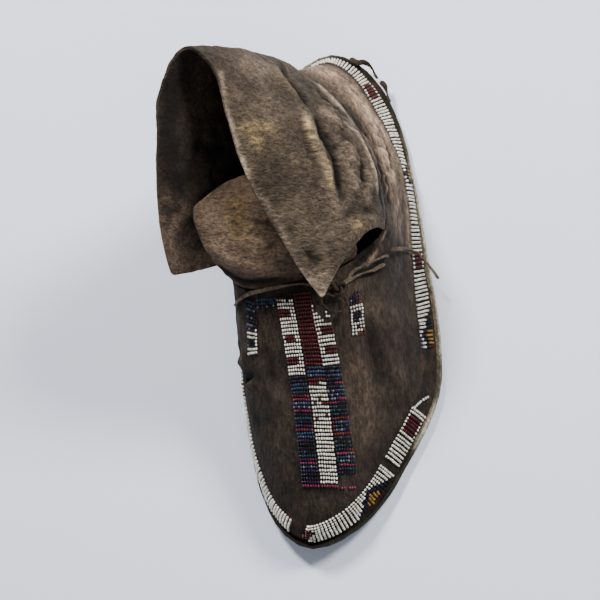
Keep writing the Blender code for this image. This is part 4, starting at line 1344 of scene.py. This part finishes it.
def edge_of_sole(place):
    """The point at a place of the outline, a smooth closed curve through its points."""
    count = len(outline)
    place %= 1.0
    here = int(np.searchsorted(places, place, side="right")) - 1
    laps, rows = zip(*(divmod(here + i, count) for i in (-1, 0, 1, 2)))
    u0, u1, u2, u3 = (places[row] + lap for lap, row in zip(laps, rows))
    p0, p1, p2, p3 = (outline[row] for row in rows)
    t = (place - u1) / (u2 - u1)
    leave = (p2 - p0) / (u2 - u0) * (u2 - u1)
    arrive = (p3 - p1) / (u3 - u1) * (u2 - u1)
    curve = (2 * t**3 - 3 * t**2 + 1) * p1 + (t**3 - 2 * t**2 + t) * leave
    return curve + (3 * t**2 - 2 * t**3) * p2 + (t**3 - t**2) * arrive


OUTLINE_STEPS = 400
walk = [edge_of_sole(i / OUTLINE_STEPS) for i in range(OUTLINE_STEPS + 1)]
edge_length = sum(np.linalg.norm(after - before) for before, after in zip(walk, walk[1:]))
print("the sole is", round(edge_length), "mm round")

# %% Charts of the border, from the sole upwards
WHITE = "WWWWWWWW"
TRIANGLE = (
    "NWWWWWWW NNWWWWWW NNNWWWWW NNNNNWWW NGGNNWWW GGGGNNWW RGGGGNNW RGGGNNWW RGGNNNWW RNNNNWWW NNNNWWWW"
    " NNNWWWWW NNWWWWWW NWWWWWWW"
).split()
HALF_TRIANGLE = (
    "RRRN.... RRRNNWWL GGGNNWWL GGGNNNWL GGGGNNNW GGGNNNWW NNNNWWWW NNNNWWWW NNNWWWWW NNWWWWWW NWWWWWWW"
).split()
CROSS = "NNNNNNWW GGGGNNNW GGGGNNNN GGGNNNWW NNNNNWWW".split()
RED_BLOCK = ["WRRRRRRW"] * 5
BROKEN_RED = "..RR.... ..RRRRW. W.RRRRWW WWWRR.WW WWWW.WWW".split()
MOTIFS = (
    # place of the middle row, rows
    (0.0630, TRIANGLE), (0.1290, RED_BLOCK), (0.2160, HALF_TRIANGLE), (0.2800, RED_BLOCK[:4]),
    (0.3600, CROSS), (0.4515, RED_BLOCK), (0.5450, RED_BLOCK), (0.6150, TRIANGLE), (0.6900, RED_BLOCK),
    (0.7700, TRIANGLE), (0.8500, RED_BLOCK), (-0.0035, BROKEN_RED)
)
LOST_ROWS = (0.0890, 0.0948)  # from place to place
# Places round the sole, and how far up the leather from the sole's rim the border starts there.
BORDER_FOOT = (
    (0.00, 0.05, 0.10, 0.15, 0.20, 0.30, 0.36, 0.43, 0.47, 0.515, 0.60, 0.70, 0.79, 0.85, 0.91, 0.96),
    (1.7, 1.7, 0.4, 0.4, 1.2, 1.5, 1.0, 0.7, 1.8, 0.8, 1.9, 3.2, 2.6, 2.0, 1.8, 2.0),
)
# Places, and how far a row leans to the toe there for each millimetre that it climbs.
BORDER_LEAN = ((0.15, 0.20, 0.24, 0.46, 0.50, 0.53), (0.0, 0.30, 0.42, 0.42, 0.30, 0.0))
BORDER_WIDTH = 9.2
SOLE_RIM = 2.3  # how far the leather stands in from the sole's edge
START_HEIGHT = 4.5  # where the leather beside the rim is first looked for
NEARBY = 0.002  # a step along the edge, as a share of its length, that gives its direction
ROW_SCATTER = 0.06  # usual error of a row's place, as a share of the distance between rows
BORDERS = (
    # name, node, first place, last place, distance from row to row
    ("border_toe_beads", "bead_border_toe", -0.0105, 0.1425, 1.82),
    ("border_outer_beads", "bead_border_outer", 0.2000, 0.5110, 2.1),
    ("border_inner_beads", "bead_border_inner", 0.5130, 0.9780, 1.9),
)
LOOSE_STRAND = (
    (33.5, -68, 10.3), (34.9, -66.4, 9.6), (36.2, -65, 8.9), (38.3, -63.2, 7.9), (40.4, -61.9, 6.9)
)


def border_chart(place, pitch):
    """The letters of the row at a place round the sole."""
    if LOST_ROWS[0] < place < LOST_ROWS[1]:
        return "........"
    for centre, rows in MOTIFS:
        row = math.floor((place - centre) / pitch + len(rows) / 2)
        if 0 <= row < len(rows):
            return rows[row]
    return WHITE


def border_spots(place, beads):
    """Spots up the leather from the sole's edge, each beside the last, for one row of the border."""
    edge = edge_of_sole(place)
    along = edge_of_sole(place + NEARBY) - edge_of_sole(place - NEARBY)
    along = Vector((*along, 0.0)).normalized()
    outward = Vector((along.y, -along.x, 0.0))
    low = Vector((*edge, 0.0)) * MM - outward * SOLE_RIM * MM + Vector((0, 0, START_HEIGHT)) * MM

    def out_of_the_shoe(normal):
        return normal if normal.dot(outward) + normal.z >= 0 else -normal

    spot, normal, _, _ = upper_surface.find_nearest(low)
    normal = out_of_the_shoe(normal)
    start = np.interp(place, *BORDER_FOOT, period=1.0)
    lean = np.interp(place, *BORDER_LEAN)
    step = BORDER_WIDTH / beads
    spots = []
    for i in range(beads):
        stride = start + 0.5 * step if i == 0 else step
        up = along.cross(normal)
        up = up if up.z > 0 else -up
        spot, normal, _, _ = upper_surface.find_nearest(spot + (up - along * lean) * stride * MM)
        normal = out_of_the_shoe(normal)
        spots.append((spot, normal))
    return spots


# %% Bead the border
for name, node, first, last, apart in BORDERS:
    rows = round((last - first) * edge_length / apart)
    pitch = (last - first) / rows
    bm = bmesh.new()
    for row in range(rows):
        place = first + (row + 0.5) * pitch
        letters = border_chart(place % 1.0 if place > 0 else place, pitch)
        behind = np.interp(place, *BORDER_LEAN) * 0.5 * BORDER_WIDTH / edge_length
        spots = border_spots(place + behind + chance.gauss(0.0, ROW_SCATTER) * pitch, len(letters))
        lay_row(bm, spots, letters)
    if node == "bead_border_toe":
        strand = [Vector(point) * MM for point in LOOSE_STRAND]
        strand = [strand[i].lerp(strand[i + 1], half) for i in range(len(strand) - 1) for half in (0.0, 0.5)]
        lay_row(bm, [(place, upper_surface.find_nearest(place)[1]) for place in strand], "W" * len(strand))
    finish_beads(bm, name, node)

# %% [markdown]
# ## Sizes
#
# The last lines write the boxes of the solid shoe, which fixes the sizes, and of the dressed one to extents.json, and
# print both.

# %% Write and print the boxes
scene_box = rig.bounds()
with open("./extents.json", "w") as out:
    boxes = {"cad": cad_box, "visual": scene_box}
    json.dump({name: [list(corner) for corner in box] for name, box in boxes.items()}, out)
for axis, name in enumerate("xyz"):
    low, high = ([round(box[i][axis] * 1000, 1) for box in (cad_box, scene_box)] for i in (0, 1))
    print(name, "from", low, "to", high, "mm, solid and dressed")
